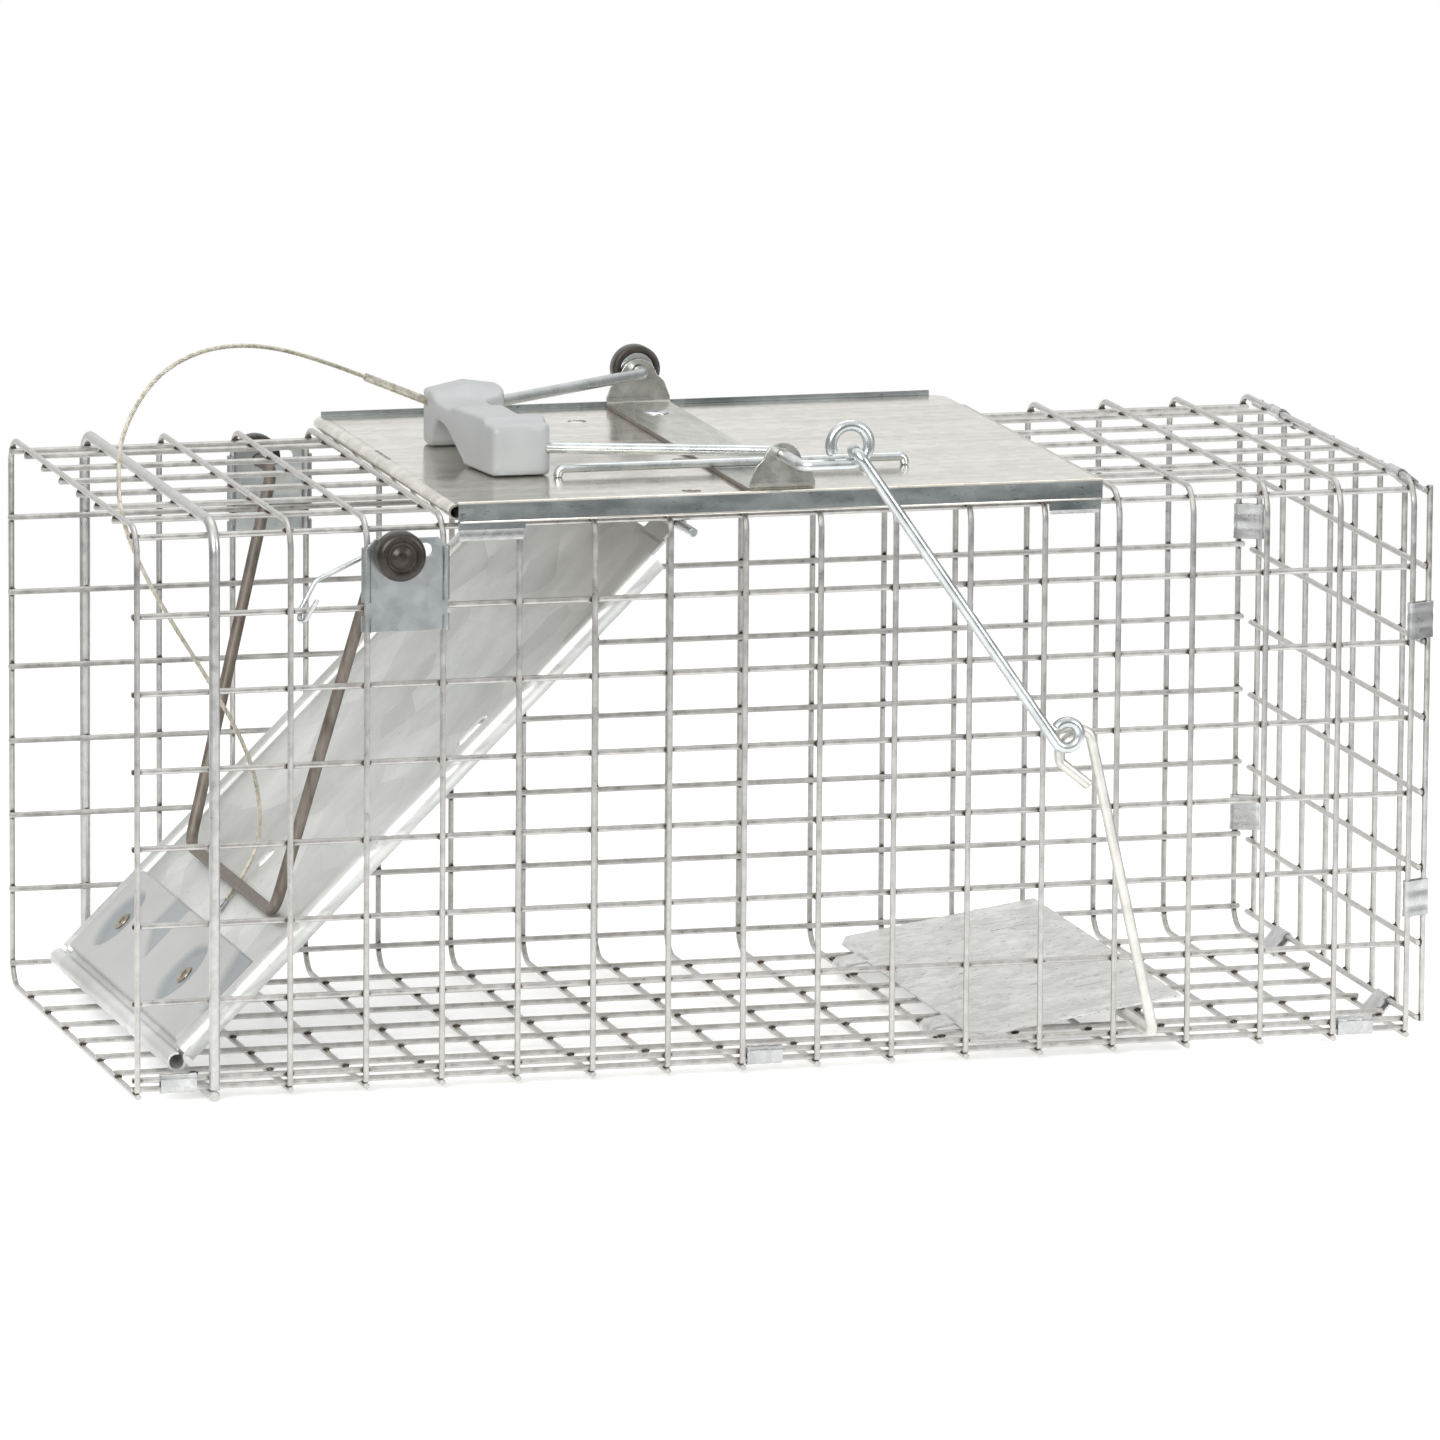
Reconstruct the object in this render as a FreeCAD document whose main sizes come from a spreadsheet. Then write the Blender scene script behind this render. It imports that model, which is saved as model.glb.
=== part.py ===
"""Live catch trap: welded wire cage, sloping drop door, gravity lock bar, set handle and treadle.

Design coordinates, in millimetres: x runs along the cage from its entrance hoop, y from the front
wall's wires to the back wall's, z up from the front wall's lowest lengthwise wire. Every piece is
shifted by the sheet's origin cells, which put the origin under the middle of the whole trap.
"""
import FreeCAD
import Part
import Sketcher
import math
import os

DOC = FreeCAD.newDocument("live_catch_trap")
SHEET = DOC.addObject("Spreadsheet::Sheet", "dims")
V = FreeCAD.Vector
NODES = []

DIMENSIONS = [
    # where the origin lies in design coordinates
    ("origin_x", 219.26), ("origin_y", 85.73), ("origin_z", -7.6),
    # welded mesh
    ("pitch", 25.4), ("hoops", 18), ("cage_width", 190), ("wire_radius", 1.0), ("weld_gap", 0.03),
    ("bend_radius", 9), ("floor_level", -5), ("roof_level", 181.4), ("hoop_end", 1.2),
    ("overhang", 1.5),
    ("seam_step", 2.06), ("side_wires", 8), ("back_low_wire", 2.2), ("cross_step", 26.5),
    ("floor_wires", 7), ("roof_wires", 6), ("roof_first", 29.9),
    ("entrance_radius", 1.8), ("rear_gap", 4.4), ("rear_wires", 8), ("rear_margin", 3),
    # folded clips that hold the seams
    ("clip_length", 12), ("clip_sheet", 0.7), ("clip_play", 0.1),
    # top plate and ear bracket
    ("plate_start", 105.5), ("plate_end", 323.5), ("plate_top", 185.6), ("plate_sheet", 1.0),
    ("plate_front", -2.3), ("plate_back", 185), ("flange_drop", 6), ("tab_drop", 12), ("tab_width", 22.8),
    ("end_tab_drop", 10.5), ("end_tab_width", 18),
    ("edge_roll", 1.0), ("curl_outer", 2.5), ("curl_inner", 1.8), ("plate_hole", 3.2),
    ("strip_start", 204.5), ("strip_width", 22), ("ear_sheet", 1.2), ("ear_front", 0.6),
    ("ear_back", 182.4), ("ear_hole", 1.98), ("rivet_radius", 2.6),
    ("rail_start", 151.5), ("rail_end", 269.5), ("rail_y", 45), ("rail_height", 2.8), ("rail_radius", 1.5),
    # handle
    ("pivot_x", 215.5), ("pivot_z", 197.8), ("bail_radius", 1.9), ("crank_y", -22.5), ("crank_reach", 16),
    ("ring_radius", 6.4),
    ("grip_start", 125.2), ("grip_width", 25), ("grip_front", 47.2), ("grip_length", 76.8),
    ("grip_base", 185.9), ("grip_height", 18.4), ("grip_hold", 137), ("cap_radius", 8.2), ("cap_length", 7.5),
    ("nut_radius", 5.8), ("nut_sheet", 0.6),
    # door, in its own slope: distance along it from the hinge, and height above its mid-plane
    ("hinge_x", 185), ("hinge_z", 173.5), ("hinge_radius", 1.5), ("hinge_end", 1.2),
    ("door_slope", 44.75), ("door_length", 240),
    ("door_sheet", 0.8), ("door_front", 7), ("door_back", 183), ("side_roll", 4.0), ("side_sink", 0.8),
    ("toe_roll", 3.2), ("knuckle_outer", 2.6), ("knuckle_inner", 1.56), ("knuckle_width", 24),
    ("cover_start", 199), ("cover_end", 235), ("cover_height", 3.0), ("door_rivet", 2.3),
    # lock bar and its wall brackets
    ("lock_x", 85.5), ("lock_z", 170.5), ("lock_radius", 2.0), ("lock_front", 18.5), ("lock_back", 171.5),
    ("lock_foot_front", 29), ("lock_foot_back", 150), ("lock_end", 8.7), ("lock_cap_gap", 3.1),
    ("lock_along", 183), ("lock_above", 4.2), ("lock_bend", 7), ("slot_run", 10), ("slot_rise", 3),
    ("slot_half", 2.2), ("wall_sheet", 0.9), ("wall_low", 145), ("wall_high", 175.4),
    # treadle and trigger
    ("pan_hoop", 11), ("pan_tilt", 8.7), ("pan_sheet", 0.8), ("pan_start", 6), ("pan_end", 78),
    ("pan_front", 9), ("pan_back", 178), ("tab_curl", 2.0), ("pan_axis_z", -4.2),
    ("axle_x", 337), ("axle_z", 4.55), ("axle_radius", 1.8), ("axle_end", 184), ("arm_y", -22.6),
    ("rod_radius", 1.85), ("eye_radius", 4.3), ("rod_foot_x", 301.8), ("rod_foot_z", 103),
    # pull cable
    ("cable_radius", 0.75), ("sleeve_radius", 1.6),
]


def fill_sheet():
    for row, (alias, value) in enumerate(DIMENSIONS, start=1):
        SHEET.set(f"A{row}", alias)
        SHEET.set(f"B{row}", str(value))
        SHEET.setAlias(f"B{row}", alias)
    DOC.recompute()


def dim(alias):
    return float(getattr(SHEET, alias))


# ---------------------------------------------------------------- placing and finishing

def bind(obj, **sizes):
    for name, formula in sizes.items():
        obj.setExpression(name, str(formula))


def set_down(obj, x, y, z, rotation=None):
    """Put obj's own origin at a point of the design coordinates, given as sheet formulas."""
    if rotation is not None:
        obj.Placement = FreeCAD.Placement(V(0, 0, 0), rotation)
    obj.setExpression(".Placement.Base.x", f"{x} - dims.origin_x")
    obj.setExpression(".Placement.Base.y", f"{y} - dims.origin_y")
    obj.setExpression(".Placement.Base.z", f"{z} - dims.origin_z")


def axes(x_axis, y_axis, z_axis):
    return FreeCAD.Rotation(V(*x_axis), V(*y_axis), V(*z_axis), "ZXY")


ALONG = {
    "x": axes((0, 1, 0), (0, 0, 1), (1, 0, 0)),
    "y": axes((0, 0, 1), (1, 0, 0), (0, 1, 0)),
    "z": axes((1, 0, 0), (0, 1, 0), (0, 0, 1)),
}


def node(obj, label):
    obj.Label = label
    NODES.append(obj)
    return obj


def cylinder(name, radius, length, way, x, y, z):
    rod = DOC.addObject("Part::Cylinder", name)
    bind(rod, Radius=radius, Height=length)
    set_down(rod, x, y, z, ALONG[way])
    return rod


def quarter_bend(name, ring, radius, start, x, y, z):
    """A quarter ring in a plane across the cage, from the direction start towards the next side."""
    bend = DOC.addObject("Part::Torus", name)
    bind(bend, Radius1=ring, Radius2=radius)
    bend.Angle3 = 90
    turn = V(1, 0, 0).cross(V(*start))
    set_down(bend, x, y, z, axes(start, tuple(turn), (1, 0, 0)))
    return bend


def group(label, pieces):
    whole = DOC.addObject("Part::Compound", label)
    whole.Links = pieces
    return node(whole, label)


def feature(label, shape):
    """A piece whose shape is worked out in design coordinates."""
    piece = DOC.addObject("Part::Feature", label)
    piece.Shape = shape
    piece.Placement = FreeCAD.Placement(V(-dim("origin_x"), -dim("origin_y"), -dim("origin_z")),
                                        FreeCAD.Rotation())
    return node(piece, label)


# ---------------------------------------------------------------- sketches and bodies

def body(label):
    return node(DOC.addObject("PartDesign::Body", label), label)


def sketch(owner, name, role, lift=None):
    plane = [f for f in owner.Origin.OriginFeatures if f.Role == role][0]
    drawing = owner.newObject("Sketcher::SketchObject", name)
    drawing.AttachmentSupport = (plane, "")
    drawing.MapMode = "FlatFace"
    if lift is not None:
        drawing.setExpression(".AttachmentOffset.Base.z", str(lift))
    return drawing


def pin_point(drawing, edge, end, x, y):
    """Hold a sketch point at two sheet formulas."""
    for kind, formula in (("DistanceX", x), ("DistanceY", y)):
        index = drawing.addConstraint(Sketcher.Constraint(kind, -1, 1, edge, end, 1.0))
        drawing.setExpression(f"Constraints[{index}]", str(formula))


def outline(drawing, points):
    """A closed outline through points given as pairs of sheet formulas."""
    count = len(points)
    first = drawing.GeometryCount
    flat = [(solve(x), solve(y)) for x, y in points]
    for i in range(count):
        a, b = flat[i], flat[(i + 1) % count]
        drawing.addGeometry(Part.LineSegment(V(a[0], a[1], 0), V(b[0], b[1], 0)), False)
    for i in range(count):
        after = first + (i + 1) % count
        drawing.addConstraint(Sketcher.Constraint("Coincident", first + i, 2, after, 1))
    for i, (x, y) in enumerate(points):
        pin_point(drawing, first + i, 1, x, y)


def box_outline(drawing, x0, y0, x1, y1):
    outline(drawing, [(x0, y0), (x1, y0), (x1, y1), (x0, y1)])


def circle(drawing, x, y, radius):
    index = drawing.addGeometry(Part.Circle(V(solve(x), solve(y), 0), V(0, 0, 1), solve(radius)), False)
    pin_point(drawing, index, 3, x, y)
    size = drawing.addConstraint(Sketcher.Constraint("Radius", index, solve(radius)))
    drawing.setExpression(f"Constraints[{size}]", str(radius))


def solve(formula):
    """The number that a sheet formula stands for, where a sketch needs a first guess."""
    if isinstance(formula, (int, float)):
        return float(formula)
    value = SHEET.evalExpression(formula)
    return float(getattr(value, "Value", value))


def pad(owner, name, drawing, length, reverse=False):
    block = owner.newObject("PartDesign::Pad", name)
    block.Profile = drawing
    block.setExpression("Length", str(length))
    block.Reversed = reverse
    DOC.recompute()
    return block


def pocket(owner, name, drawing, length=None, reverse=False):
    """Cut drawing out of the piece: right through it both ways, or a set length one way."""
    before = owner.Shape.Volume
    cut = owner.newObject("PartDesign::Pocket", name)
    cut.Profile = drawing
    if length is None:
        cut.Type = 1
        cut.Midplane = True
    else:
        cut.setExpression("Length", str(length))
        cut.Reversed = reverse
    DOC.recompute()
    if owner.Shape.Volume >= before - 1e-3:
        raise RuntimeError(f"{name} cuts nothing")
    return cut


# ---------------------------------------------------------------- bent wire

def bent_path(points, radius):
    """Straight runs through the points, joined by tangent arcs. radius is one number or a list."""
    corners = [V(*p) for p in points]
    radii = radius if isinstance(radius, list) else [radius] * (len(corners) - 2)
    edges = []
    here = corners[0]
    for i in range(1, len(corners) - 1):
        back = (corners[i - 1] - corners[i]).normalize()
        ahead = (corners[i + 1] - corners[i]).normalize()
        half_turn = (math.pi - back.getAngle(ahead)) / 2
        trim = radii[i - 1] * math.tan(half_turn)
        start = corners[i] + back * trim
        end = corners[i] + ahead * trim
        centre_way = (back + ahead).normalize()
        middle = corners[i] + centre_way * (radii[i - 1] / math.cos(half_turn) - radii[i - 1])
        edges.append(Part.LineSegment(here, start).toShape())
        edges.append(Part.Arc(start, middle, end).toShape())
        here = end
    edges.append(Part.LineSegment(here, corners[-1]).toShape())
    return edges


def swept(edges, radius):
    """Round wire along edges that follow each other without corners."""
    path = Part.Wire(edges)
    first = edges[0]
    start = first.valueAt(first.FirstParameter)
    way = first.tangentAt(first.FirstParameter)
    profile = Part.Wire([Part.makeCircle(radius, start, way)])
    solid = Part.Wire(path).makePipeShell([profile], True, False)
    if solid.Volume < 0:
        solid.reverse()
    expected = math.pi * radius ** 2 * path.Length
    if abs(solid.Volume / expected - 1) > 0.02:
        raise RuntimeError(f"bent wire volume {solid.Volume:.1f}, expected {expected:.1f}")
    return solid


def arc_edge(centre, across, along, radius, start, end):
    """An arc round centre from the angle start to end, in degrees, from across towards along."""
    def at(angle):
        turn = math.radians(angle)
        return centre + across * (radius * math.cos(turn)) + along * (radius * math.sin(turn))
    return Part.Arc(at(start), at((start + end) / 2), at(end)).toShape()


# ---------------------------------------------------------------- cage mesh

def hoop_x(index):
    return f"{index} * dims.pitch"


def hoop_straights(index, radius, shift):
    """The four straight stretches of one hoop. shift moves a thicker hoop out to the same welds."""
    name = f"hoop_{index}"
    x = hoop_x(index)
    low = f"dims.floor_level - {shift}"
    high = f"dims.roof_level + {shift}"
    near = f"0 - {shift}"
    far = f"dims.cage_width + {shift}"
    upright = "dims.roof_level - dims.floor_level - 2 * dims.bend_radius"
    foot = "dims.floor_level + dims.hoop_end"
    return {
        "floor": cylinder(f"{name}_floor", radius, "dims.cage_width - dims.bend_radius + dims.hoop_end", "y",
                          x, "0 - dims.hoop_end", low),
        "front": cylinder(f"{name}_front", radius, f"dims.roof_level - dims.bend_radius - ({foot})", "z",
                          x, near, foot),
        "back": cylinder(f"{name}_back", radius, upright, "z", x, far, "dims.floor_level + dims.bend_radius"),
        "roof": cylinder(f"{name}_roof", radius, "dims.cage_width - 2 * dims.bend_radius", "y",
                         x, "dims.bend_radius", high),
    }


def hoop_bends(index, radius, shift):
    name = f"bend_{index}"
    x = hoop_x(index)
    ring = f"dims.bend_radius + {shift}"
    far = "dims.cage_width - dims.bend_radius"
    low = "dims.floor_level + dims.bend_radius"
    high = "dims.roof_level - dims.bend_radius"
    return [
        quarter_bend(f"{name}_low", ring, radius, (0, 0, -1), x, far, low),
        quarter_bend(f"{name}_high", ring, radius, (0, 1, 0), x, far, high),
        quarter_bend(f"{name}_front", ring, radius, (0, 0, 1), x, "dims.bend_radius", high),
    ]


def long_wire(name, y, z):
    length = "(dims.hoops - 1) * dims.pitch + 2 * dims.overhang"
    return cylinder(name, "dims.wire_radius", length, "x", "0 - dims.overhang", y, z)


def build_mesh():
    """One mat of welded wire, bent round the floor, back, roof and front, a node for each flat."""
    layer = "(2 * dims.wire_radius + dims.weld_gap)"
    walls = {"floor": [], "front": [], "back": [], "roof": []}
    bends = []
    for index in range(int(dim("hoops"))):
        if index == 1:
            continue
        stretches = hoop_straights(index, "dims.wire_radius", 0)
        for side, rod in stretches.items():
            walls[side].append(rod)
        bends += hoop_bends(index, "dims.wire_radius", 0)
    inner = f"(dims.bend_radius - {layer})"
    for k in range(int(dim("floor_wires"))):
        y = f"dims.seam_step + {k} * dims.cross_step"
        walls["floor"].append(long_wire(f"floor_wire_{k}", y, f"dims.floor_level + {layer}"))
    for k in range(int(dim("roof_wires"))):
        y = f"dims.roof_first + {k} * dims.cross_step"
        walls["roof"].append(long_wire(f"roof_wire_{k}", y, f"dims.roof_level - {layer}"))
    for k in range(int(dim("side_wires")) - 1):
        walls["front"].append(long_wire(f"front_wire_{k}", layer, f"{k} * dims.pitch"))
        if k > 0:
            z = f"dims.back_low_wire + {k} * dims.pitch"
            walls["back"].append(long_wire(f"back_wire_{k}", f"dims.cage_width - {layer}", z))
    # the wires that fall on a bend lie against its inner side
    high = "dims.roof_level - dims.bend_radius"
    walls["front"].append(long_wire("front_bend_wire", f"dims.bend_radius - {inner} * cos(51 deg)",
                                    f"{high} + {inner} * sin(51 deg)"))
    walls["back"].append(long_wire("back_bend_wire",
                                   f"dims.cage_width - dims.bend_radius + {inner} * cos(45 deg)",
                                   f"{high} + {inner} * sin(45 deg)"))
    walls["back"].append(long_wire("low_bend_wire",
                                   f"dims.cage_width - dims.bend_radius + {inner} * cos(15 deg)",
                                   f"dims.floor_level + dims.bend_radius - {inner} * sin(15 deg)"))
    group("floor_mesh", walls["floor"])
    group("front_wall_mesh", walls["front"])
    group("back_wall_mesh", walls["back"])
    group("roof_mesh", walls["roof"])
    group("mesh_corner_bends", bends)


def build_entrance_hoop():
    shift = "(dims.entrance_radius - dims.wire_radius)"
    stretches = hoop_straights(1, "dims.entrance_radius", shift)
    group("entrance_hoop", list(stretches.values()) + hoop_bends(1, "dims.entrance_radius", shift))


def build_rear_wall():
    wires = []
    x_inner = "(dims.hoops - 1) * dims.pitch + dims.rear_gap"
    x_outer = f"{x_inner} + 2 * dims.wire_radius + dims.weld_gap"
    step = "(dims.cage_width - 2 * dims.rear_margin) / (dims.rear_wires - 1)"
    for k in range(int(dim("rear_wires"))):
        wires.append(cylinder(f"rear_level_{k}", "dims.wire_radius",
                              "dims.cage_width - 2 * dims.rear_margin + 3", "y",
                              x_inner, "dims.rear_margin - 1.5", f"{k} * dims.pitch"))
        wires.append(cylinder(f"rear_upright_{k}", "dims.wire_radius", "7 * dims.pitch + 3", "z",
                              x_outer, f"dims.rear_margin + {k} * {step}", "-1.5"))
    group("rear_wall_mesh", wires)


# ---------------------------------------------------------------- seam clips

def clip(first, second, way, middle):
    """A sheet band folded round two parallel wires, given by their centres in the plane across."""
    length = dim("clip_length")
    inner = dim("wire_radius") + dim("clip_play")
    outer = inner + dim("clip_sheet")

    def in_space(point, along):
        if way == "x":
            return V(along, point[0], point[1])
        if way == "y":
            return V(point[0], along, point[1])
        return V(point[0], point[1], along)

    def solid(radius):
        start = middle - length / 2
        direction = in_space((0, 0), 1)
        a = in_space(first, start)
        b = in_space(second, start)
        span = (b - a).normalize()
        side = direction.cross(span).normalize() * radius
        ends = [Part.makeCylinder(radius, length, p, direction) for p in (a, b)]
        slab = Part.makePolygon([a + side, b + side, b - side, a - side, a + side])
        slab = Part.Face(slab).extrude(direction * length)
        return ends[0].fuse([ends[1], slab]).removeSplitter()

    return solid(outer).cut(solid(inner))


def build_clips():
    layer = 2 * dim("wire_radius") + dim("weld_gap")
    edge = (dim("seam_step"), dim("floor_level") + layer)
    seam = [clip(edge, (layer, 0), "x", x) for x in (14, 211, 414.5)]
    feature("seam_clips", Part.makeCompound(seam))
    end = (dim("hoops") - 1) * dim("pitch")
    level = end + dim("rear_gap")
    upright = level + layer
    top = 7 * dim("pitch")
    wide = dim("cage_width")
    margin = dim("rear_margin")
    rear = [clip((end, dim("roof_level")), (level, top), "y", y) for y in (20, 149)]
    rear += [clip((end, dim("floor_level")), (level, 0), "y", y) for y in (37, 148)]
    rear += [clip((end, 0), (upright, margin), "z", z) for z in (41, 134.5)]
    rear += [clip((end, wide), (upright, wide - margin), "z", z) for z in (35, 137)]
    feature("rear_wall_clips", Part.makeCompound(rear))


# ---------------------------------------------------------------- top plate and ears

def build_top_plate():
    plate = body("top_plate")
    under = "dims.plate_top - dims.plate_sheet"
    side = sketch(plate, "plate_section", "YZ_Plane")
    front, back = "dims.plate_front", "dims.plate_back"
    outline(side, [
        (front, "dims.plate_top - dims.flange_drop"),
        (f"{front} + dims.plate_sheet", "dims.plate_top - dims.flange_drop"),
        (f"{front} + dims.plate_sheet", under),
        (f"{back} - dims.plate_sheet", under),
        (back, under),
        (back, "dims.plate_top + dims.edge_roll"),
        (f"{back} - dims.plate_sheet", "dims.plate_top + dims.edge_roll"),
        (f"{back} - dims.plate_sheet", "dims.plate_top"),
        (f"{front} + 2.4", "dims.plate_top"),
        (f"{front} + 1.8", "dims.plate_top + dims.edge_roll"),
        (f"{front} + 0.6", "dims.plate_top + dims.edge_roll"),
        (front, "dims.plate_top + 0.2"),
    ])
    pad(plate, "plate_sheet_pad", side, "dims.plate_end - dims.plate_start")
    tabs = sketch(plate, "plate_tabs", "XZ_Plane", f"0 - ({front})")
    span = "(dims.plate_end - dims.plate_start)"
    low, high = "dims.plate_top - dims.tab_drop", "dims.plate_top - dims.flange_drop + 1"
    end_low = "dims.plate_top - dims.end_tab_drop"
    box_outline(tabs, 0.5, low, "dims.tab_width", high)
    box_outline(tabs, f"{span} - dims.end_tab_width", end_low, f"{span} - 0.5", high)
    pad(plate, "plate_tab_pad", tabs, "dims.plate_sheet", reverse=True)
    curl = sketch(plate, "plate_curl", "XZ_Plane", f"0 - ({back})")
    circle(curl, 0, "dims.plate_top - dims.curl_outer", "dims.curl_outer")
    pad(plate, "plate_curl_pad", curl, f"{back} - ({front})")
    hollow = sketch(plate, "plate_curl_hollow", "XZ_Plane")
    circle(hollow, 0, "dims.plate_top - dims.curl_outer", "dims.curl_inner")
    pocket(plate, "plate_curl_bore", hollow)
    holes = sketch(plate, "plate_holes", "XY_Plane")
    for x, y in ((187, 156), (200.5, 71), (187, 9)):
        circle(holes, f"{x} - dims.plate_start", y, "dims.plate_hole")
    pocket(plate, "plate_hole_cut", holes)
    set_down(plate, "dims.plate_start", 0, 0)


def build_ear_bracket():
    bracket = body("ear_bracket")
    wide = "dims.strip_width"
    flat = sketch(bracket, "bracket_strip", "XY_Plane", "dims.plate_top + 0.02")
    box_outline(flat, 0, "dims.ear_front", wide, "dims.ear_back + dims.ear_sheet")
    pad(bracket, "bracket_strip_pad", flat, "dims.ear_sheet")
    centre = "dims.pivot_x - dims.strip_start"
    for name, start in (("front", "dims.ear_front"), ("back", "dims.ear_back")):
        side = sketch(bracket, f"ear_{name}", "XZ_Plane", f"0 - ({start}) - dims.ear_sheet")
        outline(side, [(0, "dims.plate_top + 0.02"), (wide, "dims.plate_top + 0.02"),
                       (f"{wide} - 2.2", "dims.pivot_z - 3.6"), (f"{centre} + 6.2", "dims.pivot_z + 1.8"),
                       (f"{centre} + 3.4", "dims.pivot_z + 3.9"), (f"{centre} - 3.4", "dims.pivot_z + 3.9"),
                       (f"{centre} - 6.2", "dims.pivot_z + 1.8"), (2.2, "dims.pivot_z - 3.6")])
        pad(bracket, f"ear_{name}_pad", side, "dims.ear_sheet")
    bore = sketch(bracket, "ear_bore", "XZ_Plane")
    circle(bore, centre, "dims.pivot_z", "dims.ear_hole")
    pocket(bracket, "ear_bore_cut", bore)
    holes = sketch(bracket, "rivet_holes", "XY_Plane")
    for y in (22, 160):
        circle(holes, "dims.strip_width / 2", y, "dims.rivet_radius")
    pocket(bracket, "rivet_hole_cut", holes)
    set_down(bracket, "dims.strip_start", 0, 0)
    rivets = []
    for index, y in enumerate((22, 160)):
        shank = cylinder(f"ear_rivet_{index}", "dims.rivet_radius - 0.02", "dims.ear_sheet", "z",
                         "dims.strip_start + dims.strip_width / 2", y, "dims.plate_top + 0.02")
        head = cylinder(f"ear_rivet_head_{index}", "dims.rivet_radius + 1.8", 0.9, "z",
                        "dims.strip_start + dims.strip_width / 2", y,
                        "dims.plate_top + 0.02 + dims.ear_sheet")
        whole = DOC.addObject("Part::Fuse", f"ear_rivet_whole_{index}")
        whole.Base, whole.Tool = shank, head
        rivets.append(whole)
    group("bracket_rivets", rivets)


def build_plate_wire():
    """Low rail of round wire that stands on the plate, both ends turned down to it."""
    foot = dim("plate_top") + 0.05
    rail = foot + dim("rail_height")
    start, end, y = dim("rail_start"), dim("rail_end"), dim("rail_y")
    points = [(start, y, foot), (start, y, rail), (end, y, rail), (end, y, foot)]
    feature("plate_rail", swept(bent_path(points, 2.0), dim("rail_radius")))


# ---------------------------------------------------------------- handle

def build_bail():
    """One wire: capped end, back leg, cross-piece in the grip, front leg, crank and ring."""
    x, z = dim("pivot_x"), dim("pivot_z")
    back = dim("ear_back") + dim("ear_sheet") + dim("cap_length") - 1.0
    crank = dim("crank_y")
    hold = dim("grip_hold")
    points = [(x, back, z), (x, 176, z), (hold + 12, 122, 198.6), (hold, 112, 199), (hold, 72, 199),
              (hold, 60, 196.5), (hold + 12, 49.5, 194.8), (x, 9, z), (x, crank, z),
              (x + dim("crank_reach"), crank, z)]
    edges = bent_path(points, [5, 6, 6, 6, 4, 5, 5, 3.4])
    centre = V(x + dim("crank_reach"), crank, z + dim("ring_radius"))
    edges.append(arc_edge(centre, V(0, 0, -1), V(1, 0, 0), dim("ring_radius"), 0, 150))
    edges.append(arc_edge(centre, V(0, 0, -1), V(1, 0, 0), dim("ring_radius"), 150, 297))
    feature("handle_bail", swept(edges, dim("bail_radius")))


def build_grip():
    grip = body("handle_grip")
    wide, long, tall = "dims.grip_width", "dims.grip_length", "dims.grip_height"
    side = sketch(grip, "grip_side", "YZ_Plane")
    outline(side, [(0, 0), (26, 0), (36, 4), (44, 7.5), (50, 9.8), (58, 10), (63, 6), (66, 0), (long, 0),
                   (long, tall), (f"{long} - 3", f"{tall} + 2.8"), (f"{long} - 10", f"{tall} + 3"),
                   (f"{long} - 17", f"{tall} - 2"), (40, f"{tall} - 2"), (36, tall), (9, tall),
                   (7, f"{tall} - 1.6"), (2, f"{tall} - 1.6"), (0, f"{tall} - 3.4")])
    pad(grip, "grip_block", side, wide)
    shape = sketch(grip, "grip_relief", "XY_Plane")
    outline(shape, [(-1, -1), (5.5, -1), (-1, 34)])
    outline(shape, [(f"{wide} - 7.5", 13.5), (f"{wide} + 1", 13.5), (f"{wide} + 1", 62),
                    (f"{wide} - 7.5", 58)])
    pocket(grip, "grip_corner_cut", shape)
    set_down(grip, "dims.grip_start", "dims.grip_front", "dims.grip_base")


def rubber_cap(y, outward, x, z, bore, length):
    """A turned cap with a recess in the face that looks at the cage."""
    way = V(0, outward, 0)
    start = V(x, y, z)
    radius = dim("cap_radius")
    blank = Part.makeCylinder(radius, length, start, way)
    rim = [e for e in blank.Edges if isinstance(e.Curve, Part.Circle)]
    blank = blank.makeFillet(1.6, rim)
    recess = Part.makeCylinder(dim("nut_radius") + 0.4, 1.6, start, way)
    blank = blank.cut(recess)
    return blank.cut(Part.makeCylinder(bore, length - 1.2, start, way))


def push_nut(y, outward, x, z, bore):
    way = V(0, outward, 0)
    start = V(x, y, z) + way * 0.5
    disc = Part.makeCylinder(dim("nut_radius"), dim("nut_sheet"), start, way)
    return disc.cut(Part.makeCylinder(bore, dim("nut_sheet"), start, way))


def build_handle_fittings():
    x, z = dim("pivot_x"), dim("pivot_z")
    face = dim("ear_back") + dim("ear_sheet") + 0.4
    bore = dim("bail_radius") + 0.02
    feature("bail_end_cap", rubber_cap(face, 1, x, z, bore, dim("cap_length")))
    feature("bail_push_nut", push_nut(face, 1, x, z, bore))
    sleeve = Part.makeCylinder(dim("sleeve_radius"), (SLEEVE_END - SLEEVE_START).Length,
                               SLEEVE_START, SLEEVE_END - SLEEVE_START)
    feature("cable_sleeve", sleeve)


# ---------------------------------------------------------------- door

def door_point(along, y, above):
    """A point of the closed door: distance down its slope, y, and height over its mid-plane."""
    slope = math.radians(dim("door_slope"))
    x = dim("hinge_x") - along * math.cos(slope) - above * math.sin(slope)
    z = dim("hinge_z") - along * math.sin(slope) + above * math.cos(slope)
    return (x, y, z)


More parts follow.
